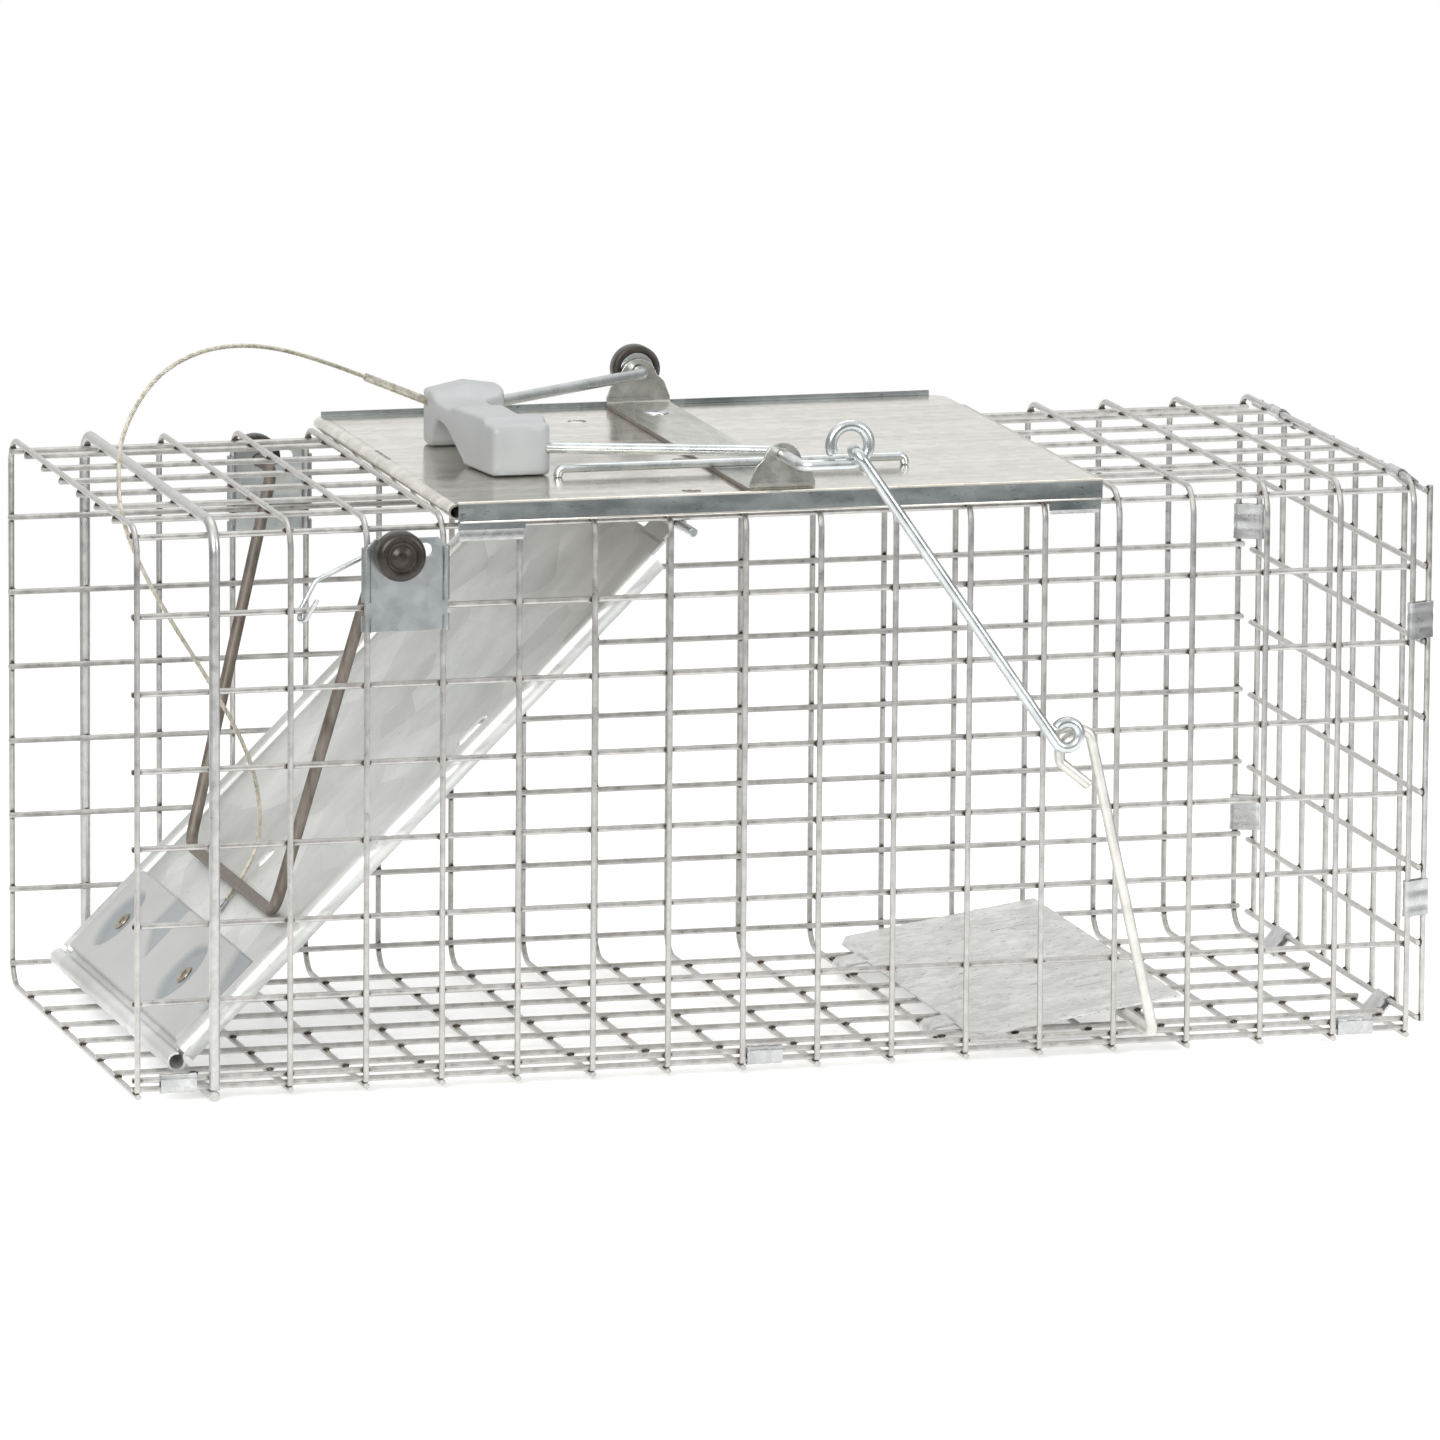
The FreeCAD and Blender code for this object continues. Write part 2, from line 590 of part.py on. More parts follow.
def on_the_door(piece):
    """Own x runs down the door from the hinge, own z stands up from its outer face."""
    slope = math.radians(dim("door_slope"))
    down = (-math.cos(slope), 0, -math.sin(slope))
    up = (-math.sin(slope), 0, math.cos(slope))
    side = tuple(V(*up).cross(V(*down)))
    set_down(piece, "dims.hinge_x", "dims.cage_width / 2", "dims.hinge_z", axes(down, side, up))


def build_door():
    """Drawn with own y from the middle of the cage towards the front wall."""
    door = body("door_plate")
    half = "(dims.door_back - dims.door_front) / 2"
    flat = sketch(door, "door_sheet_outline", "XY_Plane", "0 - dims.door_sheet / 2")
    box_outline(flat, 7, f"0 - {half} + dims.side_roll", "dims.door_length", f"{half} - dims.side_roll")
    pad(door, "door_sheet_pad", flat, "dims.door_sheet")
    rolls = sketch(door, "door_side_rolls", "YZ_Plane", 14)
    circle(rolls, f"0 - {half} + dims.side_roll", "0 - dims.side_sink", "dims.side_roll")
    circle(rolls, f"{half} - dims.side_roll", "0 - dims.side_sink", "dims.side_roll")
    pad(door, "door_side_pad", rolls, "dims.door_length - 18")
    toe = sketch(door, "door_toe_roll", "XZ_Plane", f"0 - {half}")
    circle(toe, "dims.door_length", 0, "dims.toe_roll")
    pad(door, "door_toe_pad", toe, f"2 * {half}")
    knuckles = sketch(door, "door_knuckles", "XZ_Plane", f"{half} - 10 - dims.knuckle_width")
    circle(knuckles, 0, 0, "dims.knuckle_outer")
    pad(door, "door_knuckle_one", knuckles, "dims.knuckle_width")
    others = sketch(door, "door_knuckles_far", "XZ_Plane", f"0 - {half} + 10")
    circle(others, 0, 0, "dims.knuckle_outer")
    pad(door, "door_knuckle_two", others, "dims.knuckle_width")
    straps = sketch(door, "door_straps", "XY_Plane", "0 - dims.door_sheet / 2")
    for low, high in ((f"{half} - 10 - dims.knuckle_width", f"{half} - 10"),
                      (f"10 - {half}", f"10 + dims.knuckle_width - {half}")):
        box_outline(straps, 0.5, low, 8, high)
    pad(door, "door_strap_pad", straps, "dims.door_sheet")
    bores = sketch(door, "door_bores", "XZ_Plane")
    circle(bores, 0, 0, "dims.knuckle_inner")
    circle(bores, "dims.door_length", 0, "dims.toe_roll - dims.door_sheet")
    pocket(door, "door_bore_cut", bores)
    hollows = sketch(door, "door_roll_hollows", "YZ_Plane")
    circle(hollows, f"0 - {half} + dims.side_roll", "0 - dims.side_sink", "dims.side_roll - dims.door_sheet")
    circle(hollows, f"{half} - dims.side_roll", "0 - dims.side_sink", "dims.side_roll - dims.door_sheet")
    pocket(door, "door_hollow_cut", hollows)
    slots = sketch(door, "door_slots", "XY_Plane")
    for along, across, run, wide in ((88, 72, 14, 5), (98, 78, 9, 4), (166, 5, 8, 5)):
        box_outline(slots, along, across - wide / 2, along + run, across + wide / 2)
    pocket(door, "door_slot_cut", slots)
    on_the_door(door)


def build_toe_cover():
    cover = body("door_toe_cover")
    half = "((dims.door_back - dims.door_front) / 2 - 2 * dims.side_roll - 0.3)"
    base = "dims.door_sheet / 2 + 0.02"
    flat = sketch(cover, "cover_outline", "XY_Plane", base)
    outline(flat, [("dims.cover_start + 3", f"0 - {half}"), ("dims.cover_end", f"0 - {half}"),
                   ("dims.cover_end", half), ("dims.cover_start + 3", half),
                   ("dims.cover_start", f"{half} - 3"), ("dims.cover_start", f"3 - {half}")])
    pad(cover, "cover_pad", flat, "dims.cover_height")
    wells = sketch(cover, "cover_wells", "XY_Plane", f"{base} + 1.4")
    middle = "(dims.cover_start + dims.cover_end) / 2"
    for across in (-58, 34):
        outline(wells, [(f"{middle} - 8", across - 20), (f"{middle} + 8", across - 20),
                        (f"{middle} + 13", across - 12), (f"{middle} + 13", across + 12),
                        (f"{middle} + 8", across + 20), (f"{middle} - 8", across + 20),
                        (f"{middle} - 13", across + 12), (f"{middle} - 13", across - 12)])
    pocket(cover, "cover_well_cut", wells, length="dims.cover_height", reverse=True)
    holes = sketch(cover, "cover_holes", "XY_Plane")
    for across in (-58, 34):
        circle(holes, middle, across, "dims.door_rivet")
    pocket(cover, "cover_hole_cut", holes)
    on_the_door(cover)


def build_door_rivets():
    middle = (dim("cover_start") + dim("cover_end")) / 2
    foot = dim("door_sheet") / 2 + 0.02
    rivets = []
    for across in (-58, 34):
        y = dim("cage_width") / 2 - across
        start = V(*door_point(middle, y, foot))
        way = V(*door_point(middle, y, foot + 1)) - start
        shank = Part.makeCylinder(dim("door_rivet") - 0.02, 2.0, start, way)
        head = Part.makeCylinder(dim("door_rivet") + 1.0, 0.6, start + way * 1.41, way)
        bore = Part.makeCylinder(dim("door_rivet") - 0.9, 3, start, way)
        rivets.append(shank.fuse(head).cut(bore))
    feature("door_rivets", Part.makeCompound(rivets))
    start = V(*door_point(*CABLE_STOP))
    ahead = V(*door_point(CABLE_STOP[0] + 2, CABLE_STOP[1] - 1, CABLE_STOP[2]))
    feature("cable_stop", Part.makeCylinder(1.15, STOP_LENGTH, start, ahead - start))


def build_hinge_rod():
    x, z = dim("hinge_x"), dim("hinge_z")
    out = dim("hinge_end")
    rod = Part.makeCylinder(dim("hinge_radius"), dim("cage_width") + 2 * out, V(x, -out, z), V(0, 1, 0))
    feature("door_hinge_rod", rod)


# ---------------------------------------------------------------- lock bar and its brackets

def build_lock_bar():
    x, z = dim("lock_x"), dim("lock_z")
    out = dim("lock_end")
    foot = door_point(dim("lock_along"), 0, dim("lock_above"))
    points = [(x, -out, z), (x, dim("lock_front"), z), (foot[0], dim("lock_foot_front"), foot[2]),
              (foot[0], dim("lock_foot_back"), foot[2]), (x, dim("lock_back"), z),
              (x, dim("cage_width") + out, z)]
    feature("lock_bar", swept(bent_path(points, dim("lock_bend")), dim("lock_radius")))
    bore = dim("lock_radius") + 0.02
    face = dim("lock_cap_gap")
    wide = dim("cage_width")
    caps = [rubber_cap(-face, -1, x, z, bore, 7), rubber_cap(wide + face, 1, x, z, bore, 7)]
    feature("lock_bar_caps", Part.makeCompound(caps))
    nuts = [push_nut(-face, -1, x, z, bore), push_nut(wide + face, 1, x, z, bore)]
    feature("lock_bar_push_nuts", Part.makeCompound(nuts))


def build_side_bracket(label, outer):
    """A wall plate hooked over two uprights, with a slanted slot for the lock bar's end.

    outer is the y of its inner face, as a sheet formula, and its sheet stands away from the cage.
    """
    bracket = body(label)
    lift = f"0 - ({outer})" if "front" in label else f"0 - ({outer}) - dims.wall_sheet"
    side = sketch(bracket, f"{label}_outline", "XZ_Plane", lift)
    low, high = "dims.wall_low", "dims.wall_high"
    left, right = "3 * dims.pitch - 0.9", "4 * dims.pitch + 0.9"
    outline(side, [(left, low), (right, low), (right, f"{high} - 3"), (f"{right} - 3", high),
                   (f"{left} + 3", high), (left, f"{high} - 3")])
    pad(bracket, f"{label}_pad", side, "dims.wall_sheet")
    slot = sketch(bracket, f"{label}_slot", "XZ_Plane")
    back, fore = "dims.lock_x - dims.slot_half", "dims.lock_x + dims.slot_run"
    level = "dims.lock_z"
    outline(slot, [(back, f"{level} - 1.3"), (f"{back} + 1.2", f"{level} - dims.slot_half - 0.3"),
                   ("dims.lock_x + 1.2", f"{level} - dims.slot_half - 0.3"),
                   (f"{fore} + 1.6", f"{level} + dims.slot_rise - 2.8"),
                   (fore, f"{level} + dims.slot_rise + 0.4"),
                   ("dims.lock_x + 1.6", f"{level} + dims.slot_half + 0.3"),
                   (f"{back} + 1.2", f"{level} + dims.slot_half + 0.3"), (back, f"{level} + 1.3")])
    pocket(bracket, f"{label}_slot_cut", slot)
    set_down(bracket, 0, 0, 0)


def build_lock_spring():
    """Coil round the front end of the lock bar, its leg hooked on the next upright."""
    x, z = dim("lock_x"), dim("lock_z")
    way = V(0, 1, 0)
    start = V(x, 4.6, z)
    coil = Part.makeCylinder(4.2, 8, start, way).cut(Part.makeCylinder(2.7, 8, start, way))
    post = 2 * dim("pitch")
    points = [(x - 3.0, 5.6, z + 2.2), (x - 8.5, 5.6, z - 0.5), (post + 5, 5.6, 159.5),
              (post - 2.2, 5.6, 153.5)]
    leg = swept(bent_path(points, [3, 6]), 0.8)
    feature("lock_spring", coil.fuse(leg))


# ---------------------------------------------------------------- treadle and trigger

def build_treadle():
    """Drawn flat from its hinge: own x towards the rear, own z up, then tilted onto the axle."""
    pan = body("treadle_pan")
    top = "dims.tab_curl + dims.pan_sheet"
    flat = sketch(pan, "pan_outline", "XY_Plane", "dims.tab_curl")
    outline(flat, [("dims.pan_start", "dims.pan_front + 9"), ("dims.pan_start + 4", "dims.pan_front"),
                   ("dims.pan_end", "dims.pan_front"), ("dims.pan_end", "dims.pan_back"),
                   ("dims.pan_start + 4", "dims.pan_back"), ("dims.pan_start", "dims.pan_back - 9")])
    pad(pan, "pan_pad", flat, "dims.pan_sheet")
    for index, start in enumerate((31.5, 137.5)):
        strap = sketch(pan, f"pan_tab_{index}", "XY_Plane", "dims.tab_curl")
        box_outline(strap, -0.2, start, "dims.pan_start + 1", start + 14)
        pad(pan, f"pan_tab_pad_{index}", strap, "dims.pan_sheet")
        roll = sketch(pan, f"pan_roll_{index}", "XZ_Plane", -(start + 14))
        circle(roll, 0, 0, top)
        pad(pan, f"pan_roll_pad_{index}", roll, 14)
    bore = sketch(pan, "pan_bore", "XZ_Plane")
    circle(bore, 0, 0, "dims.tab_curl")
    pocket(pan, "pan_bore_cut", bore)
    mouth = sketch(pan, "pan_mouth", "XZ_Plane")
    outline(mouth, [(0, 0), (-4, -2.9), (-4, -5), (6, -5), (6, 0.5), (3.4, 0.5), (2.2, 0)])
    pocket(pan, "pan_mouth_cut", mouth)
    run = f"(dims.axle_x - dims.pan_hoop * dims.pitch)"
    rise = "(dims.axle_z - dims.pan_axis_z)"
    tilt = "dims.pan_tilt * 1 deg"
    along = f"{run} * cos({tilt}) + {rise} * sin({tilt})"
    above = f"{rise} * cos({tilt}) - {run} * sin({tilt})"
    for index, start in enumerate((48, 146)):
        loop = sketch(pan, f"pan_loop_{index}", "XZ_Plane", -(start + 7))
        circle(loop, along, above, "dims.axle_radius + 1.05")
        pad(pan, f"pan_loop_pad_{index}", loop, 7)
    axle = sketch(pan, "pan_axle_way", "XZ_Plane")
    circle(axle, along, above, "dims.axle_radius + 0.2")
    pocket(pan, "pan_axle_cut", axle)
    slits = sketch(pan, "pan_slits", "XY_Plane")
    for start in (48, 146):
        for edge in (-2.2, 7.8):
            box_outline(slits, f"{along} - 6", start + edge, f"{along} + 6", start + edge + 1.4)
    pocket(pan, "pan_slit_cut", slits)
    turn = math.radians(dim("pan_tilt"))
    forward = (math.cos(turn), 0, math.sin(turn))
    up = (-math.sin(turn), 0, math.cos(turn))
    set_down(pan, "dims.pan_hoop * dims.pitch", 0, "dims.pan_axis_z", axes(forward, (0, 1, 0), up))


def build_trigger_arm():
    """Hook at the top, arm down outside the front wall, then an axle under the treadle."""
    x, z, y = dim("axle_x"), dim("axle_z"), dim("arm_y")
    points = [(313.9, y, 88.4), (303.8, y, 96.6), (303.4, y, 105.6), (313.6, y, 107.4), (x, y, z),
              (x, dim("axle_end"), z)]
    feature("trigger_arm", swept(bent_path(points, [2.6, 3.4, 3.6, 4]), dim("axle_radius")))


def build_trigger_rod():
    """Upper eye through the handle's ring, straight shank, lower eye beside the arm's hook."""
    centre = V(dim("pivot_x") + dim("crank_reach"), dim("crank_y"), dim("pivot_z") + dim("ring_radius"))
    foot = V(dim("rod_foot_x"), dim("crank_y"), dim("rod_foot_z"))
    down = (foot - centre).normalize()
    eye = centre + down * dim("ring_radius")
    side = V(0, 1, 0)
    radius = dim("eye_radius")
    right = V(-down.z, 0, down.x)
    shank_top = eye - side * radius
    shank_end = foot - side * radius - down * 1.0
    edges = [arc_edge(eye, side * -1, down * -1, radius, 285, 140)]
    edges.append(arc_edge(eye, side * -1, down * -1, radius, 140, 0))
    edges.append(Part.LineSegment(shank_top, shank_end).toShape())
    loop = shank_end + right * radius
    edges.append(arc_edge(loop, right * -1, down, radius, 0, 150))
    edges.append(arc_edge(loop, right * -1, down, radius, 150, 292))
    feature("trigger_rod", swept(edges, dim("rod_radius")))


# ---------------------------------------------------------------- pull cable
# the routes meet just under the roof, where the cable passes between two of its wires

# from the sleeve over the entrance, through the roof beside the first hoop, and down to the door
SLEEVE_START = V(129.1, 119.5, 199)
SLEEVE_END = V(101.2, 105, 211.4)
ROOF_PASS = (4.39, 44.69, 183)
UPPER_ROUTE = [(101.03, 104.91, 211.48), (80.2, 93.9, 220.7), (58.2, 81, 227.4), (38.5, 70, 228.3),
               (21, 60, 222.5), (9.6, 53, 210), (3.9, 47, 197), ROOF_PASS]
LOWER_ROUTE = [(4.4, 44.64, 182.92), (5.6, 44, 175.5), (10.6, 47, 163.5), (20.8, 54, 145.7),
               (39.8, 68, 118.2), (56.8, 82, 90.6)]
# as door points: it lands on the door and passes under the lock bar to a stop
LANDING_ROUTE = [(161, 93.5, 10), (174, 92.5, 1.4), (189, 86.5, 1.3)]
CABLE_STOP = (189.15, 86.43, 1.6)
STOP_LENGTH = 5


def cord_radii(route):
    """Each arc takes 0.45 of the shorter of its two runs."""
    points = [V(*p) for p in route]
    radii = []
    for i in range(1, len(points) - 1):
        before = points[i - 1] - points[i]
        after = points[i + 1] - points[i]
        half_turn = (math.pi - before.getAngle(after)) / 2
        radii.append(0.45 * min(before.Length, after.Length) / math.tan(half_turn))
    return radii


def cord(label, route):
    radii = cord_radii(route)
    edges = bent_path(route, radii)
    solid = swept(edges, dim("cable_radius"))
    length = sum(edge.Length for edge in edges)
    section = math.pi * dim("cable_radius") ** 2
    print(label, "radii", [round(r, 1) for r in radii], "length", round(length, 1),
          "volume", round(solid.Volume, 1), "section x length", round(section * length, 1))
    feature(label, solid)


def build_cable():
    cord("pull_cable_upper", UPPER_ROUTE)
    cord("pull_cable_lower", LOWER_ROUTE + [door_point(*point) for point in LANDING_ROUTE])


# ---------------------------------------------------------------- build and write

def check():
    for obj in DOC.Objects:
        if "Invalid" in obj.State or "Error" in obj.State:
            raise RuntimeError(f"{obj.Label} failed: {obj.State}")
    for piece in NODES:
        if piece.Shape.isNull() or not piece.Shape.isValid():
            raise RuntimeError(f"{piece.Label} has a bad shape")


def report_box():
    box = FreeCAD.BoundBox()
    for piece in NODES:
        if not piece.Label.startswith("pull_cable"):
            box.add(piece.Shape.optimalBoundingBox())
    print("box without cable", [round(v, 2) for v in
                                (box.XMin, box.XMax, box.YMin, box.YMax, box.ZMin, box.ZMax)])


fill_sheet()
build_mesh()
build_entrance_hoop()
build_rear_wall()
build_clips()
build_top_plate()
build_ear_bracket()
build_plate_wire()
build_bail()
build_grip()
build_handle_fittings()
build_door()
build_toe_cover()
build_door_rivets()
build_hinge_rod()
build_lock_bar()
build_side_bracket("side_bracket_front", "0 - dims.wire_radius - 0.05")
build_side_bracket("side_bracket_back", "dims.cage_width + dims.wire_radius + 0.05")
build_lock_spring()
build_treadle()
build_trigger_arm()
build_trigger_rod()
build_cable()
DOC.recompute()
check()
report_box()
os.makedirs("parts", exist_ok=True)
for piece in NODES:
    piece.Shape.exportStep(f"parts/{piece.Label}.step")
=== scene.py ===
"""Looks for the live catch trap: wires, folded sheet, rods, plastic, rubber and cable.

Lengths are in millimetres in the design coordinates of the CAD part: x from the entrance end hoop
along the cage, y from the front wall's wires to the back wall's, z up from the front wall's lowest
lengthwise wire. at() turns such a point into the row frame, in metres.
"""
import math
import random

import bpy
from mathutils import Matrix, Vector


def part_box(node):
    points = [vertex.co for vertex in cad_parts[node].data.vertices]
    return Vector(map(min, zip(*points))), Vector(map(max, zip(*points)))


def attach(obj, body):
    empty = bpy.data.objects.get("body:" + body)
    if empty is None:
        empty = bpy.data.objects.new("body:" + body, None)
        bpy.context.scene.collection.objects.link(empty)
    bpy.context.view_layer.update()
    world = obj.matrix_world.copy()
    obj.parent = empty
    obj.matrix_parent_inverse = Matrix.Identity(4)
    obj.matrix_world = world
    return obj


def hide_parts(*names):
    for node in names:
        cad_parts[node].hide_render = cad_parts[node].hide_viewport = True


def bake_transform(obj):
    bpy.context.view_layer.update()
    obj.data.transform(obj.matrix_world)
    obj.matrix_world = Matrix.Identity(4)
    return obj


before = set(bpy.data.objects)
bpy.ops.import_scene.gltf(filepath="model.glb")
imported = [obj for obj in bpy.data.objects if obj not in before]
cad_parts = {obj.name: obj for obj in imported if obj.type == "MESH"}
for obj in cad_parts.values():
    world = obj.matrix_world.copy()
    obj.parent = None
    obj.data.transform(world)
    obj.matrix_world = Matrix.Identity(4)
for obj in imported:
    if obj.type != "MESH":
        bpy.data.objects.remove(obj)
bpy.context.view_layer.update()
random.seed(7)
MM = 0.001

# ---- driving dimensions, as in the CAD part

PITCH = 25.4
HOOPS = 18
WIDTH = 190
WIRE = 1.0
LAYER = 2.03            # centre to centre of two crossing wires
BEND = 9
FLOOR_WIRE_Y, ROOF_WIRE_Y, ACROSS_PITCH = 2.06, 29.9, 26.5
WIRE_SIDES, ROD_SIDES = 10, 20
FLOOR = -5
ROOF = 181.4
HOOP_END = 1.2
OVERHANG = 1.5
CAGE_END = (HOOPS - 1) * PITCH
THICK_WIRE = 1.8
REAR_LEVEL_X = CAGE_END + 4.4
REAR_UPRIGHT_X = REAR_LEVEL_X + LAYER
REAR_MARGIN = 3
REAR_WIRES = 8
REAR_STEP = (WIDTH - 2 * REAR_MARGIN) / (REAR_WIRES - 1)
REAR_TOP = (REAR_WIRES - 1) * PITCH

PLATE_TOP = 185.6
PLATE_START, PLATE_END = 105.5, 323.5
PLATE_SHEET, PLATE_ROLL, PLATE_FLANGE = 0.7, 1.0, 6
PLATE_FRONT, PLATE_BACK = -2.3, 185
RAIL_START, RAIL_END, RAIL_Y, RAIL_HEIGHT, RAIL_WIRE = 151.5, 269.5, 45, 2.8, 1.5
STRIP_START, STRIP_WIDTH = 204.5, 22
EAR_FRONT, EAR_BACK, EAR_SHEET, EAR_TURN = 0.6, 182.4, 1.2, 1.5
BRACKET_RIVETS = (22, 160)
PIVOT_X, PIVOT_Z = 215.5, 197.8
CRANK_Y, CRANK_REACH, RING = -22.5, 16, 6.4
BAIL_WIRE = 1.9
HOLD_X = 137
CAP_RADIUS, NUT_RADIUS = 8.2, 5.8
CAP_FACE, CAP_LENGTH = 184, 7.5

HINGE_X, HINGE_Z, HINGE_WIRE, HINGE_END = 185, 173.5, 1.5, 1.2
KNUCKLES, KNUCKLE_WIDTH = (17, 149), 24
DOOR_SLOPE = math.radians(44.75)
DOOR_LENGTH, DOOR_SHEET = 240, 0.8
DOOR_FRONT, DOOR_BACK = 7, 183
SIDE_ROLL, SIDE_SINK, TOE_ROLL = 4.0, 0.8, 3.2
COVER_START, COVER_END, COVER_HEIGHT = 199, 235, 3.0

LOCK_X, LOCK_Z, LOCK_WIRE = 85.5, 170.5, 2.0
LOCK_FRONT, LOCK_BACK, LOCK_ALONG, LOCK_ABOVE = 18.5, 171.5, 183, 4.2
LOCK_FOOT_FRONT, LOCK_FOOT_BACK = 29, 150
LOCK_OUT, LOCK_CAP_FACE, LOCK_CAP_LENGTH = 8.7, 3.1, 7     # outwards from each wall's wires
BRACKET_SHEET, BRACKET_WRAP, SLOT_RADIUS = 0.9, 1.5, 2.3
BRACKET_LOW, BRACKET_HIGH = 145, 175.4
SPRING_WIRE, SPRING_TURNS, SPRING_RADIUS = 0.8, 4.7, 3.4

PAN_X, PAN_Z, PAN_TILT = 11 * PITCH, -4.2, math.radians(8.7)
PAN_SHEET, PAN_RISE = 0.8, 2.4
AXLE_LOOPS, PAN_TABS = (48, 146), (31.5, 137.5)
AXLE_X, AXLE_Z, AXLE_WIRE, ARM_Y = 337, 4.55, 1.8, -22.6
ROD_WIRE, ROD_EYE = 1.85, 4.3
ROD_FOOT = (301.8, CRANK_Y, 103)

# the pull cable's route, point by point as in the CAD part
CABLE_DIAMETER = 1.5
ROOF_PASS = (4.39, 44.69, 183)
UPPER_ROUTE = [(101.03, 104.91, 211.48), (80.2, 93.9, 220.7), (58.2, 81, 227.4), (38.5, 70, 228.3),
               (21, 60, 222.5), (9.6, 53, 210), (3.9, 47, 197), ROOF_PASS]
LOWER_ROUTE = [(4.4, 44.64, 182.92), (5.6, 44, 175.5), (10.6, 47, 163.5), (20.8, 54, 145.7),
               (39.8, 68, 118.2), (56.8, 82, 90.6)]
LANDING_ROUTE = [(161, 93.5, 10), (174, 92.5, 1.4), (189, 86.5, 1.3)]
SLEEVE_START, SLEEVE_END = (129.1, 119.5, 199), (101.2, 105, 211.4)
CABLE_STOP = (189.15, 86.43, 1.6)


def design_zero():
    """The design coordinates' zero point in the row frame, from the front wall's own box."""
    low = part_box("front_wall_mesh")[0] / MM
    return Vector((low.x + OVERHANG, low.y + WIRE, low.z - FLOOR - HOOP_END))


ZERO = design_zero()


def at(point):
    return (ZERO + Vector(point)) * MM


def door_point(along, y, above):
    """A point of the closed door: distance down its slope, y, and height over its mid-plane."""
    x = HINGE_X - along * math.cos(DOOR_SLOPE) - above * math.sin(DOOR_SLOPE)
    z = HINGE_Z - along * math.sin(DOOR_SLOPE) + above * math.cos(DOOR_SLOPE)
    return (x, y, z)


def pan_point(along, y, above):
    """A point of the treadle: distance from its hinge towards the rear, y, and height."""
    x = PAN_X + along * math.cos(PAN_TILT) - above * math.sin(PAN_TILT)
    z = PAN_Z + along * math.sin(PAN_TILT) + above * math.cos(PAN_TILT)
    return (x, y, z)


# ---- camera, floor and light

CAMERA_AZIMUTH = math.radians(-15.402)
CAMERA_ELEVATION = math.radians(10.393)
CAMERA_ROLL = math.radians(0.412)
CAMERA_DISTANCE = 4.3349
CAMERA_LENS, CAMERA_SENSOR = 325.08, 36
CAMERA_TARGET = (219.507, 90, 93.9)
LIGHT_AIM = (0, 0, 0.1)


def add_camera():
    data = bpy.data.cameras.new("camera")
    data.lens = CAMERA_LENS
    data.sensor_width = CAMERA_SENSOR
    camera = bpy.data.objects.new("camera", data)
    bpy.context.scene.collection.objects.link(camera)
    flat = math.cos(CAMERA_ELEVATION)
    back = Vector((math.sin(CAMERA_AZIMUTH) * flat, -math.cos(CAMERA_AZIMUTH) * flat,
                   math.sin(CAMERA_ELEVATION)))
    right = Vector((math.cos(CAMERA_AZIMUTH), math.sin(CAMERA_AZIMUTH), 0))
    up = back.cross(right)
    across = turned(right, up, CAMERA_ROLL)
    above = turned(up, -right, CAMERA_ROLL)
    matrix = Matrix((across, above, back)).transposed().to_4x4()
    matrix.translation = at(CAMERA_TARGET) + back * CAMERA_DISTANCE
    camera.matrix_world = matrix
    bpy.context.scene.camera = camera


def add_light(name, place, size, power, colour):
    """A soft lamp that faces the trap. Its place and size are in metres."""
    data = bpy.data.lights.new(name, "AREA")
    data.shape = "RECTANGLE"
    data.size, data.size_y = size
    data.energy = power
    data.color = colour
    lamp = bpy.data.objects.new(name, data)
    lamp.location = place
    lamp.rotation_euler = (Vector(place) - Vector(LIGHT_AIM)).to_track_quat("Z", "Y").to_euler()
    bpy.context.scene.collection.objects.link(lamp)


def add_studio():
    """A soft bright room with dim sides and a dim front, and three large soft lights."""
    scene = bpy.context.scene
    scene.view_settings.view_transform = "Standard"
    world = bpy.data.worlds.new("studio")
    scene.world = world
    world.use_nodes = True
    tree = world.node_tree
    tree.nodes.clear()
    place = tree.nodes.new("ShaderNodeTexCoord")
    parts = add_node(tree, "ShaderNodeSeparateXYZ", {0: place.outputs["Generated"]})
    side = add_node(tree, "ShaderNodeMath", {0: parts.outputs["X"]})
    side.operation = "ABSOLUTE"
    sides = colour_ramp(tree, side.outputs[0], [(0.0, 1), (0.45, (0.85, 0.85, 0.84)),
                                                (0.72, (0.16, 0.16, 0.17)), (1.0, (0.3, 0.3, 0.31))])
    height = colour_ramp(tree, parts.outputs["Z"], [(0.0, 0), (0.35, 0.25), (0.7, 1)])
    towards = add_node(tree, "ShaderNodeMath", {0: parts.outputs["Y"], 1: -1})
    towards.operation = "MULTIPLY"
    front = colour_ramp(tree, towards.outputs[0], [(0.3, 1), (0.75, (0.25, 0.25, 0.26))])
    walls = mixed(tree, 1.0, sides, front, "MULTIPLY")
    room = add_node(tree, "ShaderNodeBackground", {"Color": mixed(tree, height, walls, (1.0, 1.0, 0.985))})
    plain = add_node(tree, "ShaderNodeBackground", {"Color": (1, 1, 1)})
    seen = tree.nodes.new("ShaderNodeLightPath").outputs["Is Camera Ray"]
    either = add_node(tree, "ShaderNodeMixShader", {0: seen, 1: room.outputs[0], 2: plain.outputs[0]})
    add_node(tree, "ShaderNodeOutputWorld", {"Surface": either.outputs[0]})
    add_light("key", (-1.3, -2.2, 1.25), (1.6, 1.2), 52, (1.0, 0.99, 0.97))
    add_light("fill", (1.8, -1.7, 0.9), (1.2, 1.2), 20, (0.95, 0.98, 1.0))
    add_light("top", (0.1, 0.5, 2.0), (1.6, 1.0), 6, (1, 1, 1))


FLOOR_REACH, FLOOR_GAP = 3.0, 0.0004      # in metres


